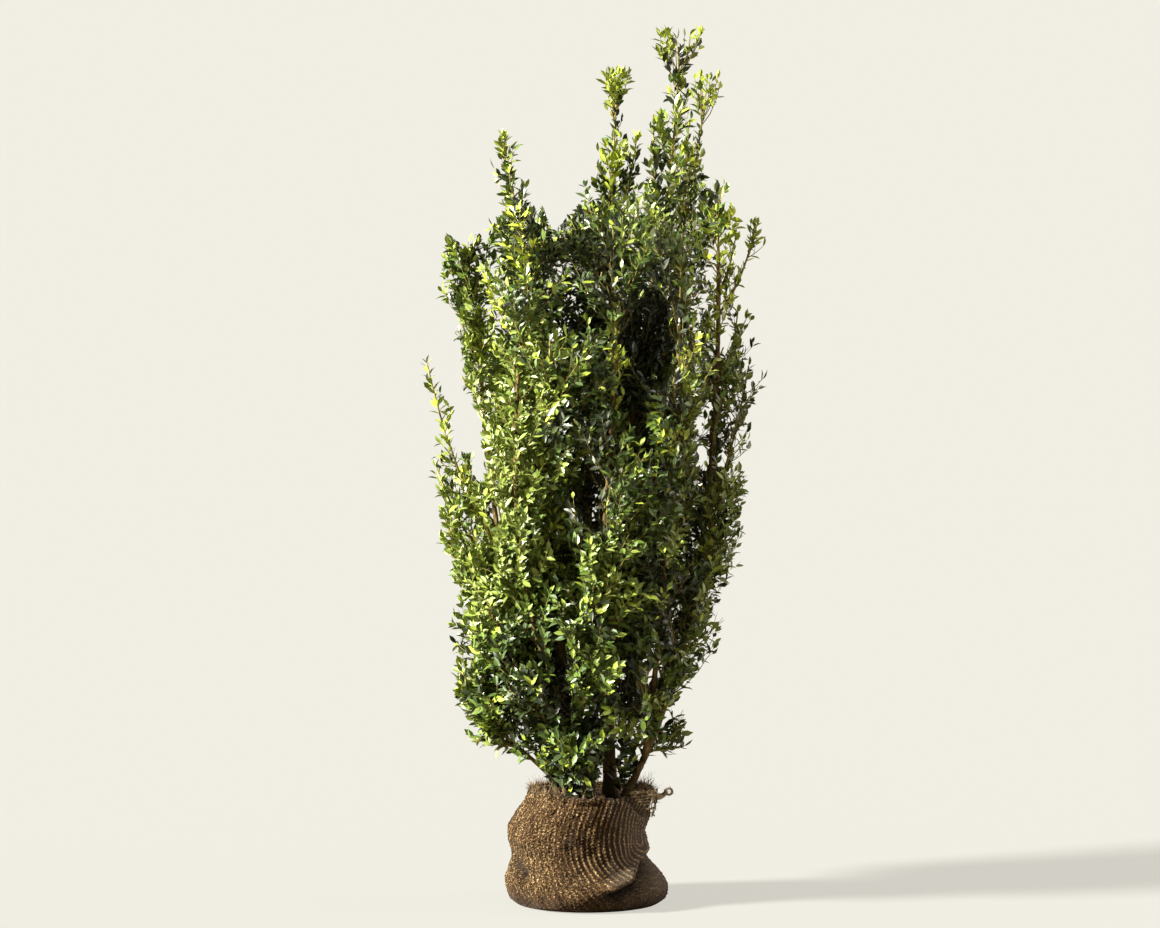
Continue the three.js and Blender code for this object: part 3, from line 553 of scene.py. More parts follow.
def tail_of_jute():
    """The two strands of the tail and the loop at its end, with their radii, laid along its solid."""
    low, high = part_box("burlap_ear")
    middle = (low + high) / 2
    t = np.linspace(0, 1, TAIL_POINTS)
    core = np.stack(
        [
            low.x - TAIL_SHIFT + (high.x - low.x - TAIL_SHIFT) * t,
            np.full(TAIL_POINTS, middle.y),
            middle.z + 0.006 * np.cos(t * 5) + 0.004 * t,
        ],
        axis=1,
    )
    strands = []
    for phase in (0, math.pi):
        angle = phase + 2 * math.pi * TAIL_TURNS * t
        turned = np.stack([0 * t, np.cos(angle), np.sin(angle)], axis=1)
        strands.append(core + turned * (0.0044 - 0.0022 * t)[:, None])
    angle = np.linspace(0, 2 * math.pi, TAIL_POINTS)
    loop = np.stack([np.sin(angle), np.sin(2 * angle), np.cos(angle)], axis=1) * TAIL_LOOP
    strands.append(core[-1] + np.array([0.0035, 0, 0.001]) + loop)
    thick = [TAIL_STRAND - TAIL_THINNING * t] * 2 + [np.full(TAIL_POINTS, TAIL_LOOP_STRAND)]
    return strands, thick


def loose_hairs(paths, each, seed):
    """Short hairs that stand off strands of jute, as triangles."""
    random = np.random.default_rng(seed)
    roots = np.concatenate([path[random.integers(0, len(path), each)] for path in paths])
    ways, bends = unit(random.normal(size=roots.shape)), 0.8 * unit(random.normal(size=roots.shape))
    lengths = random.gamma(2.5, 1.8, len(roots)) * MM
    points, faces = ribbons(roots, ways, bends, lengths, np.full(len(roots), 0.7 * MM))
    return points, np.concatenate([faces[:, [0, 1, 2]], faces[:, [0, 2, 3]]])


def pulled_net():
    """The cloth's corner under the tail, pulled apart to an open net between the rim and the sack."""
    random = np.random.default_rng(5)
    rim, tail_root, foot = (np.array(corner, float) for corner in NET_CORNERS)
    t = np.linspace(0, 1, NET_POINTS)[:, None]
    paths = []
    for k in range(NET_STRANDS):
        share = (k + 0.5) / NET_STRANDS
        from_rim = rim + share * (foot - rim)
        from_side = rim + share * (tail_root - rim)
        lower_edge = foot + (1 - share) * (tail_root - foot)
        for start, end in ((from_rim, lower_edge), (from_side, lower_edge), (from_side, from_rim)):
            wound = [np.sin(t[:, 0] * 17 + k), np.cos(t[:, 0] * 19 + k), np.sin(t[:, 0] * 23)]
            loops = 1.3 * np.stack(wound, axis=1)
            bulge = np.array([4.0, -5.0, 0]) * np.sin(math.pi * t) + 1.2 * random.normal(size=3)
            paths.append((start + (end - start) * t + bulge + loops) * MM)
    return paths, np.full((len(paths), NET_POINTS), 1.0 * MM)


strands, strand_radii = tail_of_jute()
net, net_radii = pulled_net()
corners, triangles = [], []
for points, faces in (
    tubes(strands, strand_radii, 8),
    tubes(net, net_radii, 5),
    loose_hairs(strands, 130, 14),
    loose_hairs(net, 14, 15),
):
    triangles.append(faces + sum(len(part) for part in corners))
    corners.append(points)
clean_jute = fibre_material("clean_jute", srgb(84, 66, 42), srgb(150, 128, 92), srgb(220, 204, 168))
tail = joined_mesh("jute_tail", np.concatenate(corners), np.concatenate(triangles), clean_jute)
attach(tail, "root")
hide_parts("burlap_ear")


# ---- Soil ----
# The top of the ball of dark moist soil, which shows inside the sack's mouth. A flattened ball is pushed up
# and down into clods and crumbs.
SOIL_RADIUS = 114
CLODS = [(0.0022, 0.03, 21), (0.0012, 0.009, 22)]  # how far up, how large and the seed


def soil_material():
    made, tree, shader = plain_shader("soil", 0.95)
    body = add_node(tree, "ShaderNodeTexCoord").outputs["Object"]
    crumbs = noise(tree, body, 160.0, 6.0, 0.7)
    stops = [(0.3, srgb(18, 13, 8)), (0.52, srgb(50, 37, 24)), (0.75, srgb(94, 72, 48))]
    tree.links.new(colour_ramp(tree, crumbs, stops), shader.inputs["Base Color"])
    add_bump(tree, shader, crumbs, 0.9, 0.003)
    return made


def heap_soil():
    bpy.ops.mesh.primitive_uv_sphere_add(
        segments=160,
        ring_count=60,
        radius=1,
        location=(0.004, 0, (SOIL_TOP - 4) * MM),
        scale=(SOIL_RADIUS * MM, SOIL_RADIUS * SACK_DEPTH * MM, 0.009),
    )
    heap = bpy.context.object
    heap.name = heap.data.name = "soil_top"
    bpy.ops.object.transform_apply(location=True, rotation=True, scale=True)
    where = points_of(heap.data)
    where[:, 2] += sum(rise * rough(where, size, seed) for rise, size, seed in CLODS)
    heap.data.vertices.foreach_set("co", where.ravel())
    bpy.ops.object.shade_smooth()
    return heap


soil = soil_material()
soil_top = heap_soil()
soil_top.data.materials.append(soil)
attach(soil_top, "root")
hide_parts("soil_ball")


# ---- Stems ----
# The woody stems, in thin streaked brown bark with painted shade darkening it at the foot, under the crown.
# Each is a bowed curve with the source's own foot, bow and tip, given a round section, turned to a mesh,
# and pushed in and out into ridges, leaf scars and a flared foot.

STEM_FOOT = 205.3
# Limbs: name, where it starts (a point, or another limb and the share along it), bow, tip, radii
LIMBS = [
    ("trunk", (50, 0, STEM_FOOT), (46, 4, 310), (36, 6, 414), (14, 10.5)),
    ("leader_tall", ("trunk", 1), (62, -46, 860), (146, -26, 1310), (8.5, 4.6)),
    ("leader_middle", ("trunk", 0.6), (-34, 110, 720), (34, 50, 1270), (7.5, 4.4)),
    ("stem_left", (-16, -38, STEM_FOOT), (-74, -94, 700), (-126, -58, 1290), (8, 4.2)),
    ("stem_crossing", (-42, 8, STEM_FOOT), (36, 26, 700), (190, 64, 1320), (7.5, 4.2)),
    ("stem_right", (72, -22, STEM_FOOT), (266, -66, 540), (262, -56, 1270), (7, 4.2)),
    ("stem_far_left", (-50, -22, STEM_FOOT), (-186, -44, 600), (-216, -26, 1160), (7, 4)),
    ("stem_back", ("trunk", 0.3), (72, 214, 600), (34, 196, 1180), (7, 4)),
    ("stem_back_left", ("stem_crossing", 0.1), (-150, 170, 560), (-118, 150, 1140), (6, 4)),
    ("stem_back_right", ("stem_back", 0.22), (196, 190, 620), (196, 150, 1160), (6, 4)),
    ("stem_front", ("stem_left", 0.1), (30, -216, 540), (56, -196, 1090), (6, 4)),
    ("stem_front_left", ("stem_left", 0.2), (-160, -200, 600), (-130, -186, 1060), (6, 4)),
    ("stem_front_right", ("stem_right", 0.12), (150, -196, 560), (176, -180, 1060), (6, 4)),
    ("bough_low_left", ("stem_far_left", 0.05), (-96, -34, 280), (-146, -40, 322), (4.5, 3.4)),
    ("bough_low_right", ("stem_right", 0.05), (104, 4, 276), (132, 10, 306), (4.5, 3.4)),
]
FLARE_RADIUS, FLARE_HEIGHT = 7, 26
RING_STEP = 7  # mm of stem from one ring of its mesh to the next
SCAR_SPACING = 0.021
FOOT_SHADE_TO, FOOT_SHADE_GONE, FOOT_SHADE = 220, 340, 0.6  # the heights between which the painted shade on the foot fades


class Bow:
    """A curve bowed by one point between its ends."""

    def __init__(self, foot, bow, tip):
        self.foot, self.bow, self.tip = (np.array(p, float) for p in (foot, bow, tip))

    def at(self, t):
        t = np.asarray(t, float)[..., None]
        return (1 - t) ** 2 * self.foot + 2 * t * (1 - t) * self.bow + t * t * self.tip

    def along(self, t):
        t = np.asarray(t, float)[..., None]
        return unit(2 * (1 - t) * (self.bow - self.foot) + 2 * t * (self.tip - self.bow))

    def length(self):
        return np.linalg.norm(np.diff(self.at(np.linspace(0, 1, 60)), axis=0), axis=1).sum()


limbs = {}
for name, start, bow, tip, thick in LIMBS:
    foot = limbs[start[0]]["curve"].at(start[1]) if isinstance(start[0], str) else start
    limbs[name] = {"curve": Bow(foot, bow, tip), "thick": thick, "on_soil": not isinstance(start[0], str)}


def limb_piece(name, limb):
    """One limb as a round-sectioned curve, turned to a mesh."""
    bpy.ops.curve.primitive_bezier_curve_add()
    piece = bpy.context.object
    piece.name = name
    ends = piece.data.splines[0].bezier_points
    curve = limb["curve"]
    foot, bow, tip = (Vector(p * MM) for p in (curve.foot, curve.bow, curve.tip))
    for point, spot, radius in ((ends[0], foot, limb["thick"][0]), (ends[1], tip, limb["thick"][1])):
        point.handle_left_type = point.handle_right_type = "FREE"
        point.co = spot
        point.radius = radius
    ends[0].handle_left, ends[0].handle_right = foot, foot.lerp(bow, 2 / 3)
    ends[1].handle_left, ends[1].handle_right = tip.lerp(bow, 2 / 3), tip
    piece.data.bevel_depth = MM
    piece.data.bevel_resolution = 4
    piece.data.resolution_u = max(24, round(curve.length() / RING_STEP))
    piece.data.use_fill_caps = True
    bpy.ops.object.convert(target="MESH")
    return bpy.context.object


def search_tree(points):
    """Finds the nearest of many points."""
    tree = kdtree.KDTree(len(points))
    for i, point in enumerate(points):
        tree.insert(point, i)
    tree.balance()
    return tree


def bark_relief(piece, limb, seed):
    """Pushes the bark in and out: long shallow ridges, leaf scars, and the flare over the soil."""
    where = points_of(piece.data)
    t = np.linspace(0, 1, 240)
    line = limb["curve"].at(t) * MM
    tree = search_tree(line)
    nearest = np.array([tree.find(point)[1] for point in where])
    out = where - line[nearest]
    reach = np.linalg.norm(out, axis=1, keepdims=True)
    out = out / np.maximum(reach, 1e-9)
    thick = np.interp(t[nearest], [0, 1], limb["thick"]) * MM
    stretched = where * np.array([1, 1, 0.2])
    ridges = 0.07 * rough(stretched, 0.006, seed) + 0.04 * rough(where, 0.012, seed + 1)
    scars = np.clip(np.sin(where[:, 2] * 2 * math.pi / SCAR_SPACING + seed) - 0.8, 0, 1) * 0.45
    push = thick * (ridges + scars)
    if limb["on_soil"]:
        height = np.maximum(0, where[:, 2] / MM - SOIL_TOP)
        lobes = 1 + 0.3 * np.sin(3 * np.arctan2(out[:, 1], out[:, 0]) + seed)
        push += FLARE_RADIUS * MM * limb["thick"][0] / 14 * lobes * np.exp(-height / FLARE_HEIGHT)
    body = np.clip(reach[:, 0] / (0.5 * thick), 0, 1)
    piece.data.vertices.foreach_set("co", (where + out * (push * body)[:, None]).ravel())


def bark_material(name, dark, middle, light, shaded_foot=False):
    """Thin bark: streaks along the stem over a mottled ground, and, if asked, painted shade darkening the
    foot under the crown.
    """
    made, tree, shader = plain_shader(name, 0.72)
    shader.inputs["Specular IOR Level"].default_value = 0.3
    body = add_node(tree, "ShaderNodeTexCoord").outputs["Object"]
    drawn_out = add_node(tree, "ShaderNodeMapping", {"Vector": body, "Scale": (1, 1, 0.18)}).outputs[0]
    streaks = noise(tree, drawn_out, 420.0, 4.0, 0.6)
    mottle = noise(tree, body, 38.0, 3.0)
    mixed = plus(tree, times(tree, streaks, 0.55), times(tree, mottle, 0.45))
    tone = colour_ramp(tree, mixed, [(0.36, dark), (0.5, middle), (0.64, light)])
    if shaded_foot:
        # Painted shade: the bark's colour darkens towards the foot, standing in for the crown's shadow.
        height = add_node(tree, "ShaderNodeSeparateXYZ", {0: body}).outputs[2]
        painted_foot_shade = fade(tree, height, FOOT_SHADE_TO * MM, FOOT_SHADE_GONE * MM, FOOT_SHADE, 0.0)
        tone = blend(tree, painted_foot_shade, tone, blend(tree, 1.0, tone, srgb(118, 108, 98), "MULTIPLY"))
    tree.links.new(tone, shader.inputs["Base Color"])
    add_bump(tree, shader, streaks, 0.4, 0.0012)
    return made


bark = bark_material("bark", srgb(54, 41, 22), srgb(104, 84, 46), srgb(158, 136, 82), shaded_foot=True)
pieces_of_stem = []
for seed, (name, limb) in enumerate(limbs.items()):
    piece = limb_piece(name + "_bark", limb)
    bark_relief(piece, limb, 30 + 2 * seed)
    pieces_of_stem.append(piece)
bpy.ops.object.select_all(action="DESELECT")
for piece in pieces_of_stem:
    piece.select_set(True)
bpy.context.view_layer.objects.active = pieces_of_stem[0]
bpy.ops.object.join()
stems = bpy.context.object
stems.name = stems.data.name = "stems"
bpy.ops.object.shade_smooth()
stems.data.materials.clear()
stems.data.materials.append(bark)
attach(stems, "root")
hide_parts(*limbs)


# ---- Growth ----
# The foliage masses of the source, each on its limb: a stem, twigs at the golden angle, side twigs, and
# leaves set singly round them. The source's twigs stand in their places, with finer ones between. Twigs on
# the limbs and short closing shoots fill in between the masses, and nothing goes past its own reach.

# Masses on a limb's tip: name, limb, tip, reach, twigs, leaf length, share of young leaves
TOPS = [
    ("top_tallest", "leader_tall", (188, -12, 1712), 70, 6, 26, 0.5),
    ("top_middle", "leader_middle", (62, 40, 1630), 54, 5, 26, 0.5),
    ("top_right", "stem_crossing", (244, 74, 1632), 54, 5, 26, 0.5),
    ("top_left", "stem_left", (-166, -44, 1500), 46, 3, 25, 0.5),
    ("top_broad", "stem_right", (258, -44, 1410), 84, 4, 30, 0.4),
    ("top_far_left", "stem_far_left", (-252, -22, 1306), 86, 5, 23, 0.25),
    ("top_back", "stem_back", (4, 140, 1386), 112, 5, 23, 0.2),
    ("top_back_left", "stem_back_left", (-122, 96, 1344), 112, 5, 23, 0.2),
    ("top_back_right", "stem_back_right", (262, 92, 1366), 104, 5, 23, 0.2),
    ("top_front", "stem_front", (52, -140, 1330), 116, 5, 23, 0.2),
    ("top_front_left", "stem_front_left", (-80, -130, 1316), 116, 5, 23, 0.2),
    ("top_front_right", "stem_front_right", (186, -140, 1320), 112, 5, 23, 0.15),
    ("low_left", "bough_low_left", (-216, -44, 430), 100, 4, 22, 0.1),
    ("low_right", "bough_low_right", (184, 2, 356), 84, 3, 24, 0.1),
]
# Masses that leave a limb part of the way up: the share along it comes after the limb
SHOOTS = [
    ("side_shoot_left", "stem_far_left", 0.56, (-316, -30, 1074), 44, 2, 22, 0.5),
    ("side_shoot_right", "stem_right", 0.93, (334, -20, 1330), 40, 1, 22, 0.6),
    ("inner_low", "leader_tall", 0.16, (60, -60, 760), 120, 6, 22, 0.05),
    ("inner_middle", "stem_crossing", 0.3, (10, 20, 950), 125, 7, 22, 0.0),
    ("inner_high", "leader_tall", 0.5, (96, -40, 1200), 130, 8, 22, 0.0),
    ("clump_front", "stem_left", 0.05, (-12, -122, 318), 76, 4, 22, 0.2),
]
# Shoots that close the crown where the masses reach thinly: limb, share along it, tip, reach
FILLINGS = [
    ("stem_far_left", 0.42, (-284, -30, 772), 64),
    ("stem_far_left", 0.34, (-262, 40, 730), 64),
    ("stem_far_left", 0.4, (-228, -44, 752), 42),
    ("stem_far_left", 0.5, (-298, -20, 868), 36),
    ("stem_far_left", 0.86, (-248, -30, 1050), 46),
    ("stem_far_left", 0.92, (-264, -14, 1222), 56),
    ("stem_far_left", 0.9, (-212, -70, 1176), 50),
    ("stem_far_left", 0.94, (-240, -52, 1200), 40),
    ("stem_right", 0.62, (324, -20, 1070), 66),
    ("stem_right", 0.5, (292, 10, 934), 46),
    ("stem_right", 0.76, (302, -24, 1176), 52),
    ("stem_right", 0.96, (296, -30, 1318), 34),
    ("stem_left", 0.7, (-28, -92, 1226), 66),
    ("stem_left", 0.97, (-84, -60, 1366), 40),
    ("leader_middle", 0.96, (102, 40, 1532), 40),
    ("leader_tall", 0.96, (134, -20, 1570), 30),
    ("stem_crossing", 0.97, (208, 66, 1556), 46),
    ("trunk", 0.3, (90, -46, 318), 54),
    ("trunk", 0.12, (74, -58, 264), 44),
    ("stem_far_left", 0.03, (-92, -74, 330), 60),
    ("stem_left", 0.03, (-56, -96, 322), 60),
    ("stem_left", 0.02, (-20, -104, 300), 50),
    ("stem_left", 0.01, (-34, -92, 254), 46),
    ("stem_left", 0.01, (-4, -92, 252), 44),
    ("bough_low_left", 0.5, (-160, -52, 356), 58),
    ("bough_low_left", 0.9, (-218, -44, 330), 46),
    ("bough_low_left", 0.9, (-246, -44, 462), 46),
    ("bough_low_right", 0.9, (196, 0, 310), 42),
]
# Whorls round the crown: name, degrees round, foot height, tip height, reach, twigs, share of young leaves
WHORLS = [
    ("skirt", (-128, -62, 55, 125), 290, 470, 105, 6, 0.1),
    ("lower", (30, 90, 150, 210, 270, 330), 360, 640, 130, 8, 0.12),
    ("middle", (-18, 42, 102, 162, 222, 282), 560, 870, 135, 8, 0.1),
    ("upper", (12, 72, 132, 192, 252, 312), 790, 1110, 135, 8, 0.12),
]
# Shoots that stand free of the crown's edge
FREE_SHOOTS = (
    "top_tallest", "top_middle", "top_right", "top_left", "top_broad",
    "side_shoot_left", "side_shoot_right",
)
# How much of its reach a free shoot fills, at shares along its stem
SHOOT_SHARES = (0, 0.44, 0.6, 0.72, 0.86, 0.95, 1)
PLAIN_SHOOT = (1, 0.75, 0.62, 0.55, 0.5, 0.5, 0.5)
SHOOT_SHAPES = {
    "top_tallest": (1, 1, 0.75, 0.6, 0.3, 0.7, 0.95),
    "top_middle": (0.8, 0.8, 0.8, 0.7, 0.34, 0.5, 0.95),
    "top_right": (1, 0.8, 0.34, 0.28, 0.4, 0.6, 0.95),
    "top_left": (1, 0.9, 0.8, 0.8, 0.7, 0.8, 0.9),
    "side_shoot_left": (1, 0.9, 0.8, 0.75, 0.75, 0.75, 0.75),
    "side_shoot_right": (1, 0.8, 0.7, 0.7, 0.7, 0.8, 0.95),
}
# Fans of short twigs that end level and make a shoot's head: twigs, half widths across and in depth, how
# far down the stem they start, how far over it they end, and how far each half of a forked head is set off
FANS = {
    "top_tallest": (10, 20, 24, 62, 14, 27),
    "top_middle": (8, 31, 24, 50, 24, 0),
    "top_right": (9, 33, 24, 52, 18, 0),
    "top_left": (4, 12, 10, 44, 24, 0),
    "side_shoot_right": (4, 12, 8, 50, 20, 0),
}
# The least share of its reach that a shoot's twigs keep near its tip, and from where
HEADS = {"top_tallest": 0.8, "top_middle": 0.6, "top_right": 0.6}
HEAD_FROM = 0.75
CROWN_CENTRE = np.array([14, 0])
CROWN_HEIGHTS = (250, 420, 640, 860, 1100, 1300)
CROWN_RADII = (190, 240, 285, 312, 318, 300)
CROWN_DEPTH = 0.94
# The crown is drawn in above a height on its left: degrees round, the height, by what share and how wide
NOTCH_TURN, NOTCH_ABOVE, NOTCH_DEPTH, NOTCH_WIDTH = 186, 900, 0.36, 26
WHORL_FOOT = 0.46  # share of the crown's radius at which the stems of a whorl start
WHORL_INSET = 0.35  # share of their reach that they stop short of the crown's edge
TIP_GAP, TIP_BOW = 0.3, 0.4  # a mass on a limb's tip starts so far past it, and bows at this share of it
SHOOT_BOW = np.array([0.62, 0.62, 0.34])  # a shoot bows at this share of its way out and up
LEAF = 22
FINER = 5  # twigs here for each twig of the source, the middle one in its place
FINER_ON = {"clump_front": 15, "top_broad": 3, "side_shoot_right": 9, "side_shoot_left": 7}
LIMB_REACH = 96  # of the leafy twigs that the limbs carry themselves
LIMB_TWIG_STEP, LIMB_YOUNG, LIMB_SEED = 13, 0.06, 101
LEAFY_LIMB = 1000  # a limb whose tip is higher carries such twigs
FILLING_TWIG_STEP, FILLING_YOUNG, FILLING_SEED, FILLING_FINER = 26, 0.15, 201, 3
FREE_ABOVE = 1490  # a closing shoot whose tip is higher stands free of the crown


def seeded(seed):
    """The source's own repeatable draws between 0 and 1."""
    state = seed

    def draw():
        nonlocal state
        state = (state + 0x6D2B79F5) & 0xFFFFFFFF
        t = ((state ^ (state >> 15)) * (1 | state)) & 0xFFFFFFFF
        t = ((t + (((t ^ (t >> 7)) * (61 | t)) & 0xFFFFFFFF)) & 0xFFFFFFFF) ^ t
        return ((t ^ (t >> 14)) & 0xFFFFFFFF) / 4294967296

    return draw


def crown_radius(turn, height):
    """The source's own radius of the crown, at a turn and a height."""
    off = ((turn - NOTCH_TURN + 180) % 360 - 180) / NOTCH_WIDTH
    drawn = np.where(height > NOTCH_ABOVE, NOTCH_DEPTH * np.exp(-off * off), 0)
    return np.interp(height, CROWN_HEIGHTS, CROWN_RADII) * (1 - drawn)


def crown_point(turn, height, radius):
    angle = math.radians(turn)
    x, y = CROWN_CENTRE + radius * np.array([math.cos(angle), math.sin(angle) * CROWN_DEPTH])
    return np.array([x, y, height])


def nearest_limb(point):
    """The limb, and the share along it, nearest to a point."""
    shares = np.arange(7, 112) / 120
    best = (1e9, None, None)
    for name, limb in limbs.items():
        away = np.linalg.norm(limb["curve"].at(shares) - point, axis=1)
        i = int(away.argmin())
        if away[i] < best[0] - 1e-9:
            best = (away[i], name, shares[i])
    return best[1:]


def mass_of(name, curve, reach, twigs, leaf, young, seed, finer, **more):
    """A mass of foliage; if no more is said, it has a stem of its own and stays within the crown's edge."""
    mass = {"name": name, "curve": curve, "reach": reach, "twigs": twigs, "leaf": leaf, "young": young}
    return mass | {"seed": seed, "finer": finer, "free": False, "head": 0, "own_stem": True} | more


def all_masses():
    """Every mass with its stem's curve, in the source's order, so that its seed and its twigs agree."""
    listed = [(name, on, None, tip, *rest) for name, on, tip, *rest in TOPS]
    for name, turns, foot, tip, reach, twigs, young in WHORLS:
        for i, turn in enumerate(turns):
            radius = float(crown_radius(turn, tip))
            end = crown_point(turn, tip, radius - reach * WHORL_INSET)
            on, at = nearest_limb(crown_point(turn, foot, radius * WHORL_FOOT))
            listed.append((f"{name}_{i + 1}", on, at, end, reach, twigs, LEAF, young))
    listed += SHOOTS
    found = []
    for i, (name, on, at, tip, reach, twigs, leaf, young) in enumerate(listed):
        limb = limbs[on]["curve"]
        tip = np.array(tip, float)
        foot = limb.at(1 if at is None else at)
        if at is None:
            foot = foot + TIP_GAP * limb.along(1)
            bow = foot + limb.along(1) * np.linalg.norm(tip - foot) * TIP_BOW
        else:
            bow = foot + (tip - foot) * SHOOT_BOW
        made = (name, Bow(foot, bow, tip), reach, twigs, leaf, young, i + 1, FINER_ON.get(name, FINER))
        found.append(mass_of(*made, free=name in FREE_SHOOTS, head=HEADS.get(name, 0)))
    return found


def limb_fillings():
    """The leafy twigs of the limbs themselves, which close the crown between its masses."""
    found = []
    for i, (name, limb) in enumerate(limbs.items()):
        curve = limb["curve"]
        twigs = round(curve.length() / LIMB_TWIG_STEP)
        made = (name, curve, LIMB_REACH, twigs, LEAF, LIMB_YOUNG, LIMB_SEED + i, 1)
        if curve.tip[2] > LEAFY_LIMB:
            found.append(mass_of(*made, own_stem=False))
    return found


def fillings():
    """The shoots that close the crown, as masses that have no solid of their own."""
    found = []
    for i, (on, at, tip, reach) in enumerate(FILLINGS):
        foot, tip = limbs[on]["curve"].at(at), np.array(tip, float)
        curve = Bow(foot, foot + (tip - foot) * SHOOT_BOW, tip)
        twigs = max(3, round(curve.length() / FILLING_TWIG_STEP))
        name, seed = f"filling_{i + 1}", FILLING_SEED + i
        made = (name, curve, reach, twigs, LEAF, FILLING_YOUNG, seed, FILLING_FINER)
        found.append(mass_of(*made, free=tip[2] > FREE_ABOVE))
    return found


GOLDEN_ANGLE = math.pi * (3 - math.sqrt(5))
SPINDLE_FOOT = 0.34  # share of its reach that a mass has at its foot
TWIGS_FROM = 0.1  # share along a mass's stem at which its twigs begin
TWIGS_OVER, LIMB_TWIGS_OVER = 0.8, 0.9  # share of a mass's stem, or of a limb, that carries them
TWIG_RISE, RISE_VARIES = 42, 12
SHORTEST_TWIG = 18


def spindle(mass, t):
    """Sideways reach of a mass at a share of its stem."""
    swell = math.sin(math.pi * (t + 0.12) / 1.2)
    head = mass["head"] if t > HEAD_FROM else 0
    return mass["reach"] * max(SPINDLE_FOOT + (1 - SPINDLE_FOOT) * swell, head)


def turned(vector, axis, angle):
    """A vector turned about an axis."""
    along = axis * np.dot(axis, vector)
    return along + (vector - along) * math.cos(angle) + np.cross(axis, vector) * math.sin(angle)


def out_of_crown(point):
    """The level way from the crown's middle to a point."""
    out = np.append(np.asarray(point)[:2] - CROWN_CENTRE, 0)
    return out / max(np.linalg.norm(out), 1e-9)


def twigs_of(mass):
    """The source's twigs and the finer ones, as [foot, way, length], and the draws for what they carry."""
    draw = seeded(mass["seed"])
    phase = draw() * 2 * math.pi
    own = [(draw(), draw()) for _ in range(mass["twigs"])]
    random = np.random.default_rng(mass["seed"])
    found = []
    finer, over = mass["finer"], TWIGS_OVER if mass["own_stem"] else LIMB_TWIGS_OVER
    count = mass["twigs"] * finer
    for j in range(count):
        i, k = divmod(j, finer)
        t = TWIGS_FROM + over * (j + 0.5) / count
        rise_draw, length_draw = own[i] if k == finer // 2 else random.random(2)
        along = mass["curve"].along(t)
        side = unit(np.cross([0, 1.0, 0], along))
        out = turned(side, along, phase + i * GOLDEN_ANGLE + (k - finer // 2) * 2 * math.pi / finer)
        rise = math.radians(TWIG_RISE + RISE_VARIES * (rise_draw - 0.5))
        way = out * math.cos(rise) + along * math.sin(rise)
        length = (spindle(mass, t) / math.cos(rise) - 0.5 * mass["leaf"]) * (0.86 + 0.2 * length_draw)
        found.append((mass["curve"].at(t), way, max(length, SHORTEST_TWIG)))
    return found, random


# The crown's own edge, which nothing but the free shoots passes: height, furthest left, furthest right
CROWN_EDGE = [
    (226, -96, 100), (262, -140, 150), (300, -200, 214), (330, -246, 230), (400, -260, 208),
    (470, -280, 246), (560, -278, 268), (610, -252, 288), (640, -268, 302), (730, -294, 326),
    (870, -316, 330), (930, -296, 304), (1000, -252, 356), (1080, -252, 364), (1140, -262, 344),
    (1260, -304, 312), (1360, -288, 304), (1480, -170, 252),
]
# The height that it stays under but for them, from left to right: place, height
CROWN_TOP = [
    (-296, 1250), (-284, 1340), (-260, 1320), (-236, 1300), (-220, 1340), (-200, 1330),
    (-184, 1376), (-120, 1392), (-92, 1392), (-60, 1328), (-40, 1380), (0, 1424),
    (40, 1440), (108, 1476), (228, 1462), (272, 1400), (318, 1384),
]
EDGE_RAGGED = 20  # how far sprays stand out of the edge and fall short of it
EDGE_WAVES = swells(90, 51)
POCKET_WAVES = swells(115, 52)
OVER_REACH = 1.06  # how far a leaf may stand past its mass's reach
LOWEST_LEAF = 228  # but for the leaves that hang into the mouth of the sack
MOUTH_CENTRE, MOUTH_RADIUS, MOUTH_LEAF = 9, 100, 212
# Hollows in the front of the crown, where its dark inside shows: centre and half sizes
HOLLOWS = [
    ((130, -235, 1108), (50, 165, 92)),
    ((41, -265, 1252), (27, 130, 42)),
    ((15, -250, 802), (32, 120, 60)),
    ((190, -240, 560), (30, 130, 60)),
    ((-60, -250, 420), (26, 110, 40)),
    ((84, -250, 430), (24, 130, 50)),
]
# Gaps that the sky shows through; the last three open the front alone, on the trunk's foot and a stem
GAPS = [
    ((-234, 0, 944), (27, 400, 44)),
    ((-214, 0, 874), (19, 400, 38)),
    ((-180, 0, 776), (17, 400, 24)),
    ((-178, 0, 1262), (9, 400, 13)),
    ((256, 0, 1556), (20, 400, 40)),
    ((336, 0, 1252), (22, 400, 26)),
    ((226, 0, 1252), (9, 400, 10)),
    ((226, 0, 1198), (10, 400, 9)),
    ((274, 0, 1112), (13, 400, 24)),
    ((230, 0, 886), (14, 400, 24)),
    ((228, 0, 946), (14, 400, 15)),
    ((272, 0, 880), (13, 400, 11)),
    ((16, 0, 766), (10, 400, 16)),
    ((133, 0, 450), (16, 400, 24)),
    ((188, 0, 390), (16, 400, 24)),
    ((158, 0, 362), (13, 400, 16)),
    ((-106, 0, 262), (18, 400, 26)),
    ((-158, -60, 246), (40, 260, 28)),
    ((184, -40, 240), (40, 260, 28)),
    ((50, -152, 264), (17, 146, 56)),
    ((-39, -200, 404), (11, 134, 52)),
    ((-49, -205, 500), (12, 140, 56)),
]
HUG = 27  # leaves this near to their own stem stay, also before a hollow
POCKET = -0.66  # the unevenness under which a pocket is left open between the sprays
POCKET_FROM = 0.62  # share of the crown's half width inside which it has no pockets


def clear_of(hollows, points):
    """True for each point that lies in none of the hollows."""
    centres, halves = (np.array(part, float) for part in zip(*hollows))
    off = (points[:, None] - centres) / halves
    return ((off**2).sum(axis=2) > 1).all(axis=1)


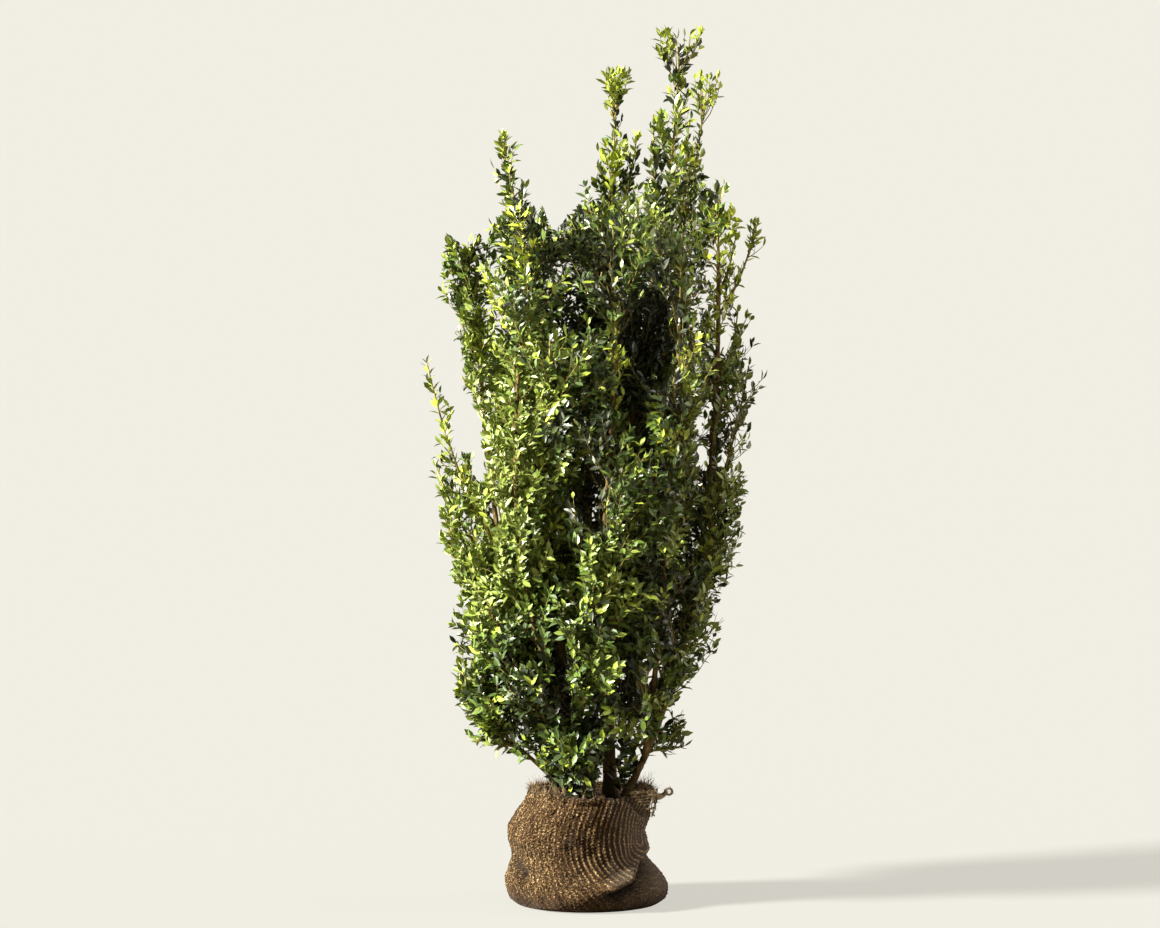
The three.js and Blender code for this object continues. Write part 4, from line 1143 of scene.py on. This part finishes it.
def in_space(mass, points):
    """True for each point within the mass's reach and, but for a free shoot, within the crown's edge."""
    stem = mass["curve"].at(np.linspace(0, 1, 25))
    away = np.linalg.norm(points[:, None] - stem[None], axis=2)
    reach = mass["reach"] * OVER_REACH
    if mass["free"]:
        shape = SHOOT_SHAPES.get(mass["name"], PLAIN_SHOOT)
        reach *= np.interp(away.argmin(axis=1) / 24, SHOOT_SHARES, shape)
    nearest = away.min(axis=1)
    in_mouth = np.hypot(points[:, 0] - MOUTH_CENTRE, points[:, 1] / SACK_DEPTH) < MOUTH_RADIUS
    inside = (nearest < reach) & (points[:, 2] > np.where(in_mouth, MOUTH_LEAF, LOWEST_LEAF))
    if not mass["free"]:
        heights, *sides = zip(*CROWN_EDGE)
        left, right = (np.interp(points[:, 2], heights, side) for side in sides)
        ragged = EDGE_RAGGED * unevenness(EDGE_WAVES, points)
        from_axis = np.hypot(points[:, 0] - (left + right) / 2, points[:, 1] / CROWN_DEPTH)
        half = (right - left) / 2
        inside &= from_axis < half + ragged
        inside &= points[:, 2] < np.interp(points[:, 0], *zip(*CROWN_TOP)) + 0.5 * ragged
        pockets = (unevenness(POCKET_WAVES, points) < POCKET) & (from_axis > POCKET_FROM * half)
        inside &= (nearest < HUG) | (clear_of(HOLLOWS, points) & ~pockets)
    return inside & clear_of(GAPS, points)


TWIG_LIFT, TWIG_WANDER = 0.34, 0.07  # shares of its length that a twig turns up to the light, and strays
TWIG_TAPER = 0.62
LEAST_TWIG = 6
LEAF_STEP = 6.6
LEAF_SPREAD, TUFT_SPREAD, SPREAD_VARIES = 50, 20, 9  # degrees between a leaf and its twig
LEAF_SIZES, TUFT_SIZE = (0.82, 1.2), 0.8
FOOT_LEAVES, FOOT_HEIGHTS = 1.16, (260, 760)  # the oldest leaves, at the foot, are larger by this share
DEEP, DARK, GREEN, GRASS, OLIVE, YOUNG, LIME = range(7)
TONE_VARIES = 0.16  # share of a spray's leaves that are a tone deeper, and as many are a tone lighter


class Growth:
    """Collects the twigs and the leaves of the whole plant as they grow."""

    def __init__(self):
        self.paths, self.thick = [], []
        self.roots, self.ways, self.ups, self.sizes, self.tones, self.owners = [], [], [], [], [], []

    def twig(self, foot, way, length, thick, mass, random):
        """A twig that bends a little to the light and ends where its mass's space does; or None."""
        t = np.linspace(0, 1, 4)[:, None]
        lift = np.array([0, 0, 1.0]) * TWIG_LIFT + TWIG_WANDER * random.normal(size=3)
        reached = np.linspace(0.1, 1, 10)[:, None]
        free = in_space(mass, foot + (way * reached + lift * reached**2) * (length + 0.7 * mass["leaf"]))
        if not free[0]:
            return None
        length *= 1 if free.all() else reached[int(np.argmin(free)) - 1, 0]
        if length < LEAST_TWIG:
            return None
        path = foot + (way * t + lift * t * t) * length
        self.paths.append(path)
        self.thick.append(thick * (1 - TWIG_TAPER * t[:, 0]))
        return path

    def leaves(self, path, mass, owner, random, first, tone, scale=1.0, step=LEAF_STEP, off=0):
        """Sets leaves round a twig at the golden angle, and a tuft at its end."""
        length = np.linalg.norm(np.diff(path, axis=0), axis=1).sum()
        count = max(2, int(length * (1 - first) / step))
        t = np.append(np.linspace(first, 0.97, count), [1, 1])
        grid = np.linspace(0, 1, len(path))
        root = np.stack([np.interp(t, grid, path[:, i]) for i in range(3)], axis=1)
        along = unit(path[-1] - path[0])
        side = unit(np.cross(along, [0.31, 0.95, 0.12]))
        other = np.cross(along, side)
        angle = random.uniform(0, 2 * math.pi) + np.arange(len(t)) * GOLDEN_ANGLE
        angle += 0.3 * random.normal(size=len(t))
        out = side * np.cos(angle)[:, None] + other * np.sin(angle)[:, None]
        spread = np.where(t < 1, LEAF_SPREAD, TUFT_SPREAD) + SPREAD_VARIES * random.normal(size=len(t))
        spread = np.radians(spread)[:, None]
        way = along * np.cos(spread) + out * np.sin(spread)
        inner = along * np.sin(spread) - out * np.cos(spread)
        light = np.array([0, 0, 0.55]) + 0.55 * out_of_crown(path[0])
        up = inner * 0.75 + light + 0.3 * random.normal(size=(len(t), 3))
        up = unit(up - way * np.sum(up * way, axis=1, keepdims=True))
        size = mass["leaf"] * scale * random.uniform(*LEAF_SIZES, len(t)) * np.where(t < 1, 1, TUFT_SIZE)
        size *= np.interp(root[:, 2], FOOT_HEIGHTS, (FOOT_LEAVES, 1))
        self.roots.append(root + out * off)
        self.ways.append(way)
        self.ups.append(up)
        self.sizes.append(size)
        young_end = (t > 0.8) & (random.random(len(t)) < mass["young"])
        draw = random.random(len(t))
        varied = tone + (draw > 1 - TONE_VARIES) - (draw < TONE_VARIES)
        varied = np.clip(varied, DEEP, max(tone, OLIVE))
        self.tones.append(np.where(young_end, np.maximum(tone, YOUNG), varied))
        self.owners.append(np.full(len(t), owner))


TONE_STEPS = (0.04, 0.2, 0.42, 0.7)  # the draws between deep, dark, green, grass and olive
EDGE_FROM, EDGE_LIGHTER = 0.86, 0.9  # lighter towards the crown's edge, from this share of its radius
SUNLIT_LEFT, SUNLIT_LIGHTER = ((-200, -110, 850), (190, 190, 380)), 1.1  # painted light: the sprays are lighter here, on the sunlit left: centre and half sizes
# Sprays are older, with fewer young leaves, and painted deeper as if shaded, under the first height to the
# left of a line, and under the second to the right of it
OLD_SHADED_FOOT, OLD_SHADED_RIGHT_FOOT, OLD_SHADED_LEFT_OF = 540, 330, -30
PAINTED_LOW_SHADE, OLD_FEWER_YOUNG = 0.1, 0.85
SHADE_AROUND = 1.4  # painted shade: the leaves take the deep tone in a hollow and round it, as many times its size
PAINTED_HOLLOW_SHADE = [(centre, tuple(SHADE_AROUND * half for half in halves)) for centre, halves in HOLLOWS]
YOUNG_SPRAYS, LONG_YOUNG_SPRAYS = 0.5, 0.2  # the share of young sprays, for each of a mass's young leaves
LONG_LEAF = 28
LIME_IN_BRIGHT, LIME_ELSEWHERE = 0.5, 0.3
# Sprays of young leaves that show from the front: centre and radius
BRIGHT_SPRAYS = [
    ((258, -90, 1130), 52),
    ((258, -90, 1215), 46),
    ((258, -70, 1290), 46),
    ((330, -22, 1320), 56),
    ((62, -190, 1090), 42),
    ((66, -180, 1010), 34),
    ((108, -220, 522), 24),
    ((58, -210, 592), 26),
    ((-142, -190, 628), 18),
    ((-24, -190, 462), 26),
    ((-76, -200, 424), 18),
]


def spray_tone(mass, place, random):
    """One tone for a spray: painted shade deep in the hollows, lighter at the crown's edge, painted light
    on the sunlit left, and older and painted deeper as if shaded low down.
    """
    out = np.hypot(*(place[:2] - CROWN_CENTRE)) / np.interp(place[2], CROWN_HEIGHTS, CROWN_RADII)
    # Painted light: sprays on the sunlit left of the crown are drawn lighter.
    off = (place - SUNLIT_LEFT[0]) / SUNLIT_LEFT[1]
    draw = random.random() + EDGE_LIGHTER * (min(out, 1) - EDGE_FROM) + SUNLIT_LIGHTER * max(0, 1 - off @ off)
    # Painted shade: low in the crown the sprays are drawn a tone deeper; they also carry fewer young
    # leaves.
    old_and_shaded = place[2] < (OLD_SHADED_FOOT if place[0] < OLD_SHADED_LEFT_OF else OLD_SHADED_RIGHT_FOOT)
    bright = any(np.linalg.norm(place - centre) < radius for centre, radius in BRIGHT_SPRAYS)
    # Painted shade: the sprays in and round a hollow are given the deep tone.
    if not clear_of(PAINTED_HOLLOW_SHADE, place[None])[0]:
        return DEEP
    young = mass["young"] * (YOUNG_SPRAYS if mass["leaf"] < LONG_LEAF else LONG_YOUNG_SPRAYS)
    if bright or random.random() < young * (1 - OLD_FEWER_YOUNG * old_and_shaded):
        return LIME if random.random() < (LIME_IN_BRIGHT if bright else LIME_ELSEWHERE) else YOUNG
    return int(np.searchsorted(TONE_STEPS, draw - PAINTED_LOW_SHADE * old_and_shaded))


LOWEST_TWIG = 236  # on a limb
LEAFY_FROM, LEAFY_STRETCH = 0.3, 0.1  # a limb carries leaves of its own from here, in sprays of this share
LIMB_LEAVES, LIMB_LEAF_STEP = 1.05, 5.0
STEM_RADII, STEM_POINTS = (3.2, 1.5), 13
STEM_LEAVES_FROM, STEM_STRETCH, STEM_LEAF_STEP = 0.1, 0.18, 6.0
FAN_TWIG_RADIUS = 1.1
FAN_LIME, FAN_YOUNG = 0.12, 0.6  # shares of a fan's twigs
FAN_LEAVES_FROM, FAN_LEAVES, FAN_LEAF_STEP = 0.46, 0.9, 5.4
TWIG_RADIUS, SIDE_TWIG_RADIUS = 1.25, 0.75
SIDE_TWIG_STEP = 22
LEAST_SIDE_TWIG = 9
TWIG_LEAVES_FROM, SIDE_LEAVES_FROM, SIDE_LEAVES = 0.22, 0.25, 0.94


def grow(mass, owner, growth):
    """Grows one mass: its stem or the leaves on its limb, its fan, its twigs and all their leaves."""
    twigs, random = twigs_of(mass)
    if mass["own_stem"]:
        grow_stem(mass, owner, growth, random)
    else:
        foot_radius, tip_radius = limbs[mass["name"]]["thick"]
        for first in np.arange(LEAFY_FROM, 0.99, LEAFY_STRETCH):
            stretch = mass["curve"].at(np.linspace(first, min(first + LEAFY_STRETCH, 1), 4))
            radius = foot_radius + (tip_radius - foot_radius) * first
            tone = spray_tone(mass, stretch[2], random)
            growth.leaves(stretch, mass, owner, random, 0, tone, LIMB_LEAVES, LIMB_LEAF_STEP, radius)
    if mass["name"] in FANS:
        grow_fan(mass, owner, growth, random)
    for foot, way, length in twigs:
        if foot[2] >= LOWEST_TWIG or mass["own_stem"]:
            grow_twig(mass, owner, growth, random, foot, way, length)


def grow_stem(mass, owner, growth, random):
    """The mass's own stem, in four tapering stretches, and the leaves that it carries to its tip."""
    curve = mass["curve"]
    line, thick = curve.at(np.linspace(0, 1, STEM_POINTS)), np.linspace(*STEM_RADII, STEM_POINTS)
    for first in (0, 3, 6, 9):
        growth.paths.append(line[first : first + 4])
        growth.thick.append(thick[first : first + 4])
    for first in np.arange(STEM_LEAVES_FROM, 0.99, STEM_STRETCH):
        stretch = curve.at(np.linspace(first, first + STEM_STRETCH, 6))
        tone = spray_tone(mass, stretch[3], random)
        growth.leaves(stretch, mass, owner, random, 0, tone, 1.0, STEM_LEAF_STEP)


def grow_fan(mass, owner, growth, random):
    """The flat head of a shoot: short twigs that spread from its stem and all turn up to one level."""
    count, across, deep, drop, rise, fork = FANS[mass["name"]]
    tip = mass["curve"].tip
    for i in range(count):
        angle = i * GOLDEN_ANGLE
        spread = math.sqrt((i + 0.5) / count)
        beside = across * spread * math.cos(angle) + fork * (1 if i % 2 else -1)
        end = tip + [beside, deep * spread * math.sin(angle), rise + 6 * random.random()]
        start = mass["curve"].at(1 - drop * random.uniform(0.7, 1.2) / mass["curve"].length())
        bend = start + (end - start) * np.array([0.75, 0.75, 0.35])
        path = Bow(start, bend, end).at(np.linspace(0, 1, 4))
        growth.paths.append(path)
        growth.thick.append(FAN_TWIG_RADIUS * (1 - 0.5 * np.linspace(0, 1, 4)))
        tone = LIME if random.random() < FAN_LIME else YOUNG if random.random() < FAN_YOUNG else OLIVE
        growth.leaves(path, mass, owner, random, FAN_LEAVES_FROM, tone, FAN_LEAVES, FAN_LEAF_STEP)


def grow_twig(mass, owner, growth, random, foot, way, length):
    """One twig with its leaves, and the shorter side twigs that leave it left and right in turn."""
    tone = spray_tone(mass, foot + 0.6 * length * way, random)
    path = growth.twig(foot, way, length, TWIG_RADIUS, mass, random)
    if path is None:
        return
    growth.leaves(path, mass, owner, random, TWIG_LEAVES_FROM, tone)
    steps = int(length * 0.85 / SIDE_TWIG_STEP)
    for k in range(steps):
        s = 0.18 + 0.72 * (k + random.uniform(0.2, 0.8)) / max(steps, 1)
        start = path[0] + (path[-1] - path[0]) * s
        beside = unit(np.cross(way, out_of_crown(foot))) * (1 if k % 2 else -1)
        beside = turned(beside, way, random.uniform(-1.0, 1.0))
        side_way = unit(way * 0.75 + beside * 0.7 + np.array([0, 0, 0.2]))
        side_length = length * (0.5 - 0.32 * s) * random.uniform(0.7, 1.15)
        if side_length < LEAST_SIDE_TWIG:
            continue
        side_path = growth.twig(start, side_way, side_length, SIDE_TWIG_RADIUS, mass, random)
        if side_path is not None:
            growth.leaves(side_path, mass, owner, random, SIDE_LEAVES_FROM, tone, SIDE_LEAVES)


# Within this share of the crown's radius few leaves are left, between two heights
BARE_CORE, CORE_LEAVES, CORE_FOOT, CORE_TOP = 0.42, 0.3, 330, 980
# The crown is more open on its right, at the right of its foot, and a little on its left round a height
OPEN_SIDE, OPEN_LEAVES = 170, 0.6
OPEN_FOOT, OPEN_FOOT_LEAVES = (92, 520), 0.52  # to the right of this and under this
OPEN_LEFT, OPEN_LEFT_LEAVES = (780, 230), 0.8  # round this height, and so far up and down
LIMB_CLEAR = 3  # how far the middle of a leaf stays clear of a limb


def kept_leaves(masses, growth):
    """True for each leaf that stays in its mass's reach and the crown's outline and misses the limbs."""
    root, way = np.concatenate(growth.roots), np.concatenate(growth.ways)
    size, owner = np.concatenate(growth.sizes), np.concatenate(growth.owners)
    keep = np.ones(len(root), bool)
    for i, mass in enumerate(masses):
        mine = np.flatnonzero(owner == i)
        keep[mine] = in_space(mass, root[mine] + way[mine] * size[mine, None])
    x, y, height = root.T
    share = np.hypot(x - CROWN_CENTRE[0], (y - CROWN_CENTRE[1]) / CROWN_DEPTH)
    share /= np.interp(height, CROWN_HEIGHTS, CROWN_RADII)
    draw = np.random.default_rng(77).random(len(root))
    core = (share < BARE_CORE) & (height < CORE_TOP) & (height > CORE_FOOT)
    keep &= ~(core & (draw > CORE_LEAVES))
    open_foot = (x > OPEN_FOOT[0]) & (height < OPEN_FOOT[1])
    keep &= ~(((x > OPEN_SIDE) | open_foot) & (draw > np.where(open_foot, OPEN_FOOT_LEAVES, OPEN_LEAVES)))
    open_left = (x < -OPEN_SIDE) & (abs(height - OPEN_LEFT[0]) < OPEN_LEFT[1])
    keep &= ~(open_left & (draw > OPEN_LEFT_LEAVES))
    along = np.linspace(0, 1, 160)
    tree = search_tree(np.concatenate([limb["curve"].at(along) for limb in limbs.values()]))
    radii = np.concatenate([np.linspace(*limb["thick"], len(along)) for limb in limbs.values()])
    middle = root + way * size[:, None] * 0.5
    for i in np.flatnonzero(keep):
        _, nearest, away = tree.find(middle[i])
        keep[i] = away > radii[nearest] + LIMB_CLEAR
    return keep


masses = all_masses()
sources = masses + limb_fillings() + fillings()
growth = Growth()
for owner, mass in enumerate(sources):
    grow(mass, owner, growth)
kept = kept_leaves(sources, growth)


# ---- Twigs ----
# The thin living wood of the masses: olive-brown, greener and yellower than the stems. Each is a slim
# tapering tube, of five sides for the masses' own stems and twigs, and of three for the side twigs.

# Kinds of twig: name, least and most radius at the foot, sides, which of its four points it goes through
TWIG_KINDS = [("twigs", 1, 9, 5, [0, 1, 2, 3]), ("fine_twigs", 0, 1, 3, [0, 1, 3])]

twig_bark = bark_material("twig_bark", srgb(70, 62, 26), srgb(128, 116, 54), srgb(184, 170, 92))
for name, least, most, sides, stations in TWIG_KINDS:
    part = [i for i, thick in enumerate(growth.thick) if least <= thick[0] < most]
    lines = np.array([growth.paths[i][stations] for i in part]) * MM
    thick = np.array([growth.thick[i][stations] for i in part]) * MM
    twigs = joined_mesh(name, *tubes(lines, thick, sides), twig_bark)
    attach(twigs, "root")


# ---- Leaves ----
# Small evergreen leaves, pointed ovals folded a little on the midrib, thick and glossy, darker when old or
# where shade is painted into their tone, and lime when young. One leaf is eight faces, and all the leaves
# of one tone are one mesh of a plain colour.
LEAF_POINTS = np.array(
    [
        (0, 0, 0), (0.36, 0, -0.02), (0.7, 0, -0.03), (1, 0, -0.08),
        (0.27, 0.185, 0.04), (0.62, 0.205, 0.03), (0.27, -0.185, 0.04), (0.62, -0.205, 0.03),
    ]
)
LEAF_FACES = np.array(
    [
        (0, 4, 1), (1, 4, 5), (1, 5, 2), (2, 5, 3),
        (0, 1, 6), (1, 7, 6), (1, 2, 7), (2, 3, 7),
    ]
)
LEAF_CURL = (0.4, 1.9)  # how many times as far as these points a leaf folds and droops
FOLD_ANGLE = 24
LEAF_TONES = {
    "deep": (srgb(36, 47, 20), 0.46),
    "dark": (srgb(52, 68, 25), 0.46),
    "green": (srgb(67, 89, 30), 0.46),
    "grass": (srgb(94, 119, 38), 0.48),
    "olive": (srgb(129, 146, 58), 0.5),
    "young": (srgb(158, 174, 56), 0.52),
    "lime": (srgb(188, 203, 62), 0.54),
}


def leaf_material(name, colour, roughness):
    made, tree, shader = plain_shader("leaf_" + name, roughness)
    shader.inputs["Base Color"].default_value = colour
    shader.inputs["Specular IOR Level"].default_value = 0.62
    shader.inputs["Coat Weight"].default_value = 0.5
    shader.inputs["Coat Roughness"].default_value = 0.36
    return made


def leaf_mesh(name, chosen, material):
    """All the leaves of one tone as one mesh: the one leaf set at each root, turned and scaled."""
    root, way, up = (np.concatenate(part)[chosen] for part in (growth.roots, growth.ways, growth.ups))
    size = np.concatenate(growth.sizes)[chosen]
    across = np.cross(up, way)
    curl = np.random.default_rng(len(chosen)).uniform(*LEAF_CURL, len(root))
    shape = LEAF_POINTS[None] * size[:, None, None]
    shape[:, :, 2] *= curl[:, None]
    points = root[:, None] + shape[..., :1] * way[:, None] + shape[..., 1:2] * across[:, None]
    points += shape[..., 2:] * up[:, None]
    faces = (LEAF_FACES[None] + (np.arange(len(root)) * len(LEAF_POINTS))[:, None, None]).reshape(-1, 3)
    piece = joined_mesh(name, points.reshape(-1, 3) * MM, faces, material)
    bpy.ops.object.select_all(action="DESELECT")
    piece.select_set(True)
    bpy.context.view_layer.objects.active = piece
    bpy.ops.object.shade_smooth_by_angle(angle=math.radians(FOLD_ANGLE))
    return piece


tones = np.concatenate(growth.tones)
for index, (name, (colour, roughness)) in enumerate(LEAF_TONES.items()):
    chosen = np.flatnonzero(kept & (tones == index))
    piece = leaf_mesh("leaves_" + name, chosen, leaf_material(name, colour, roughness))
    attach(piece, "root")
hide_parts(*[mass["name"] for mass in masses])


# ---- Floor, light and camera ----
# A plain pale floor, a key light from the upper left front, a weak wide one from the right, and an even
# surround, which is seen as bright as the floor but lights less.
CREAM = srgb(241, 238, 227)
FLOOR_RADIUS, FLOOR_UNDER = 60, 0.0005
FLOOR_GLOW = 0.68  # the share of the floor's tone that no shadow takes away
FLOOR_TINT = (0.1072, 0.1087, 0.1043, 1)
SURROUND = 0.31
CAMERA_AT = (-0.012, -5.0, 0.874)
CAMERA_LENS = 77.6
# Lights: name, where it shines from, strength, degrees wide, colour
LIGHTS = [
    ("soft_key", (-0.86, -0.29, 0.45), 15.4, 9, (1.0, 0.965, 0.9)),
    ("soft_fill", (0.9, 0.05, 0.36), 1.5, 50, (1.0, 0.88, 0.9)),
]

bpy.ops.mesh.primitive_circle_add(
    vertices=96, radius=FLOOR_RADIUS, fill_type="NGON", location=(0, 0, -FLOOR_UNDER)
)
floor = bpy.context.object
floor.name = "floor"
pale, pale_tree, pale_shader = plain_shader("pale_floor", 0.9)
pale_shader.inputs["Specular IOR Level"].default_value = 0.0
seen = add_node(pale_tree, "ShaderNodeLightPath").outputs["Is Camera Ray"]
tint = blend(pale_tree, seen, srgb(120, 112, 98), FLOOR_TINT)
pale_tree.links.new(tint, pale_shader.inputs["Base Color"])
pale_shader.inputs["Emission Color"].default_value = CREAM
glow = times(pale_tree, seen, FLOOR_GLOW)
pale_tree.links.new(glow, pale_shader.inputs["Emission Strength"])
floor.data.materials.append(pale)

for name, light_from, strength, wide, colour in LIGHTS:
    bpy.ops.object.light_add(type="SUN", location=4 * Vector(light_from))
    light = bpy.context.object
    light.name = name
    light.data.energy = strength
    light.data.angle = math.radians(wide)
    light.data.color = colour
    light.rotation_euler = Vector(light_from).to_track_quat("Z", "Y").to_euler()

world = bpy.data.worlds.new("surround")
world.use_nodes = True
tree = world.node_tree
background = tree.nodes["Background"]
background.inputs["Color"].default_value = CREAM
seen = add_node(tree, "ShaderNodeLightPath").outputs["Is Camera Ray"]
tree.links.new(fade(tree, seen, 0.0, 1.0, SURROUND, 1.0), background.inputs["Strength"])
bpy.context.scene.world = world
bpy.context.scene.view_settings.view_transform = "Standard"

bpy.ops.object.camera_add(location=CAMERA_AT, rotation=(math.radians(90), 0, 0))
camera = bpy.context.object
camera.data.sensor_width = 36
camera.data.lens = CAMERA_LENS
bpy.context.scene.camera = camera
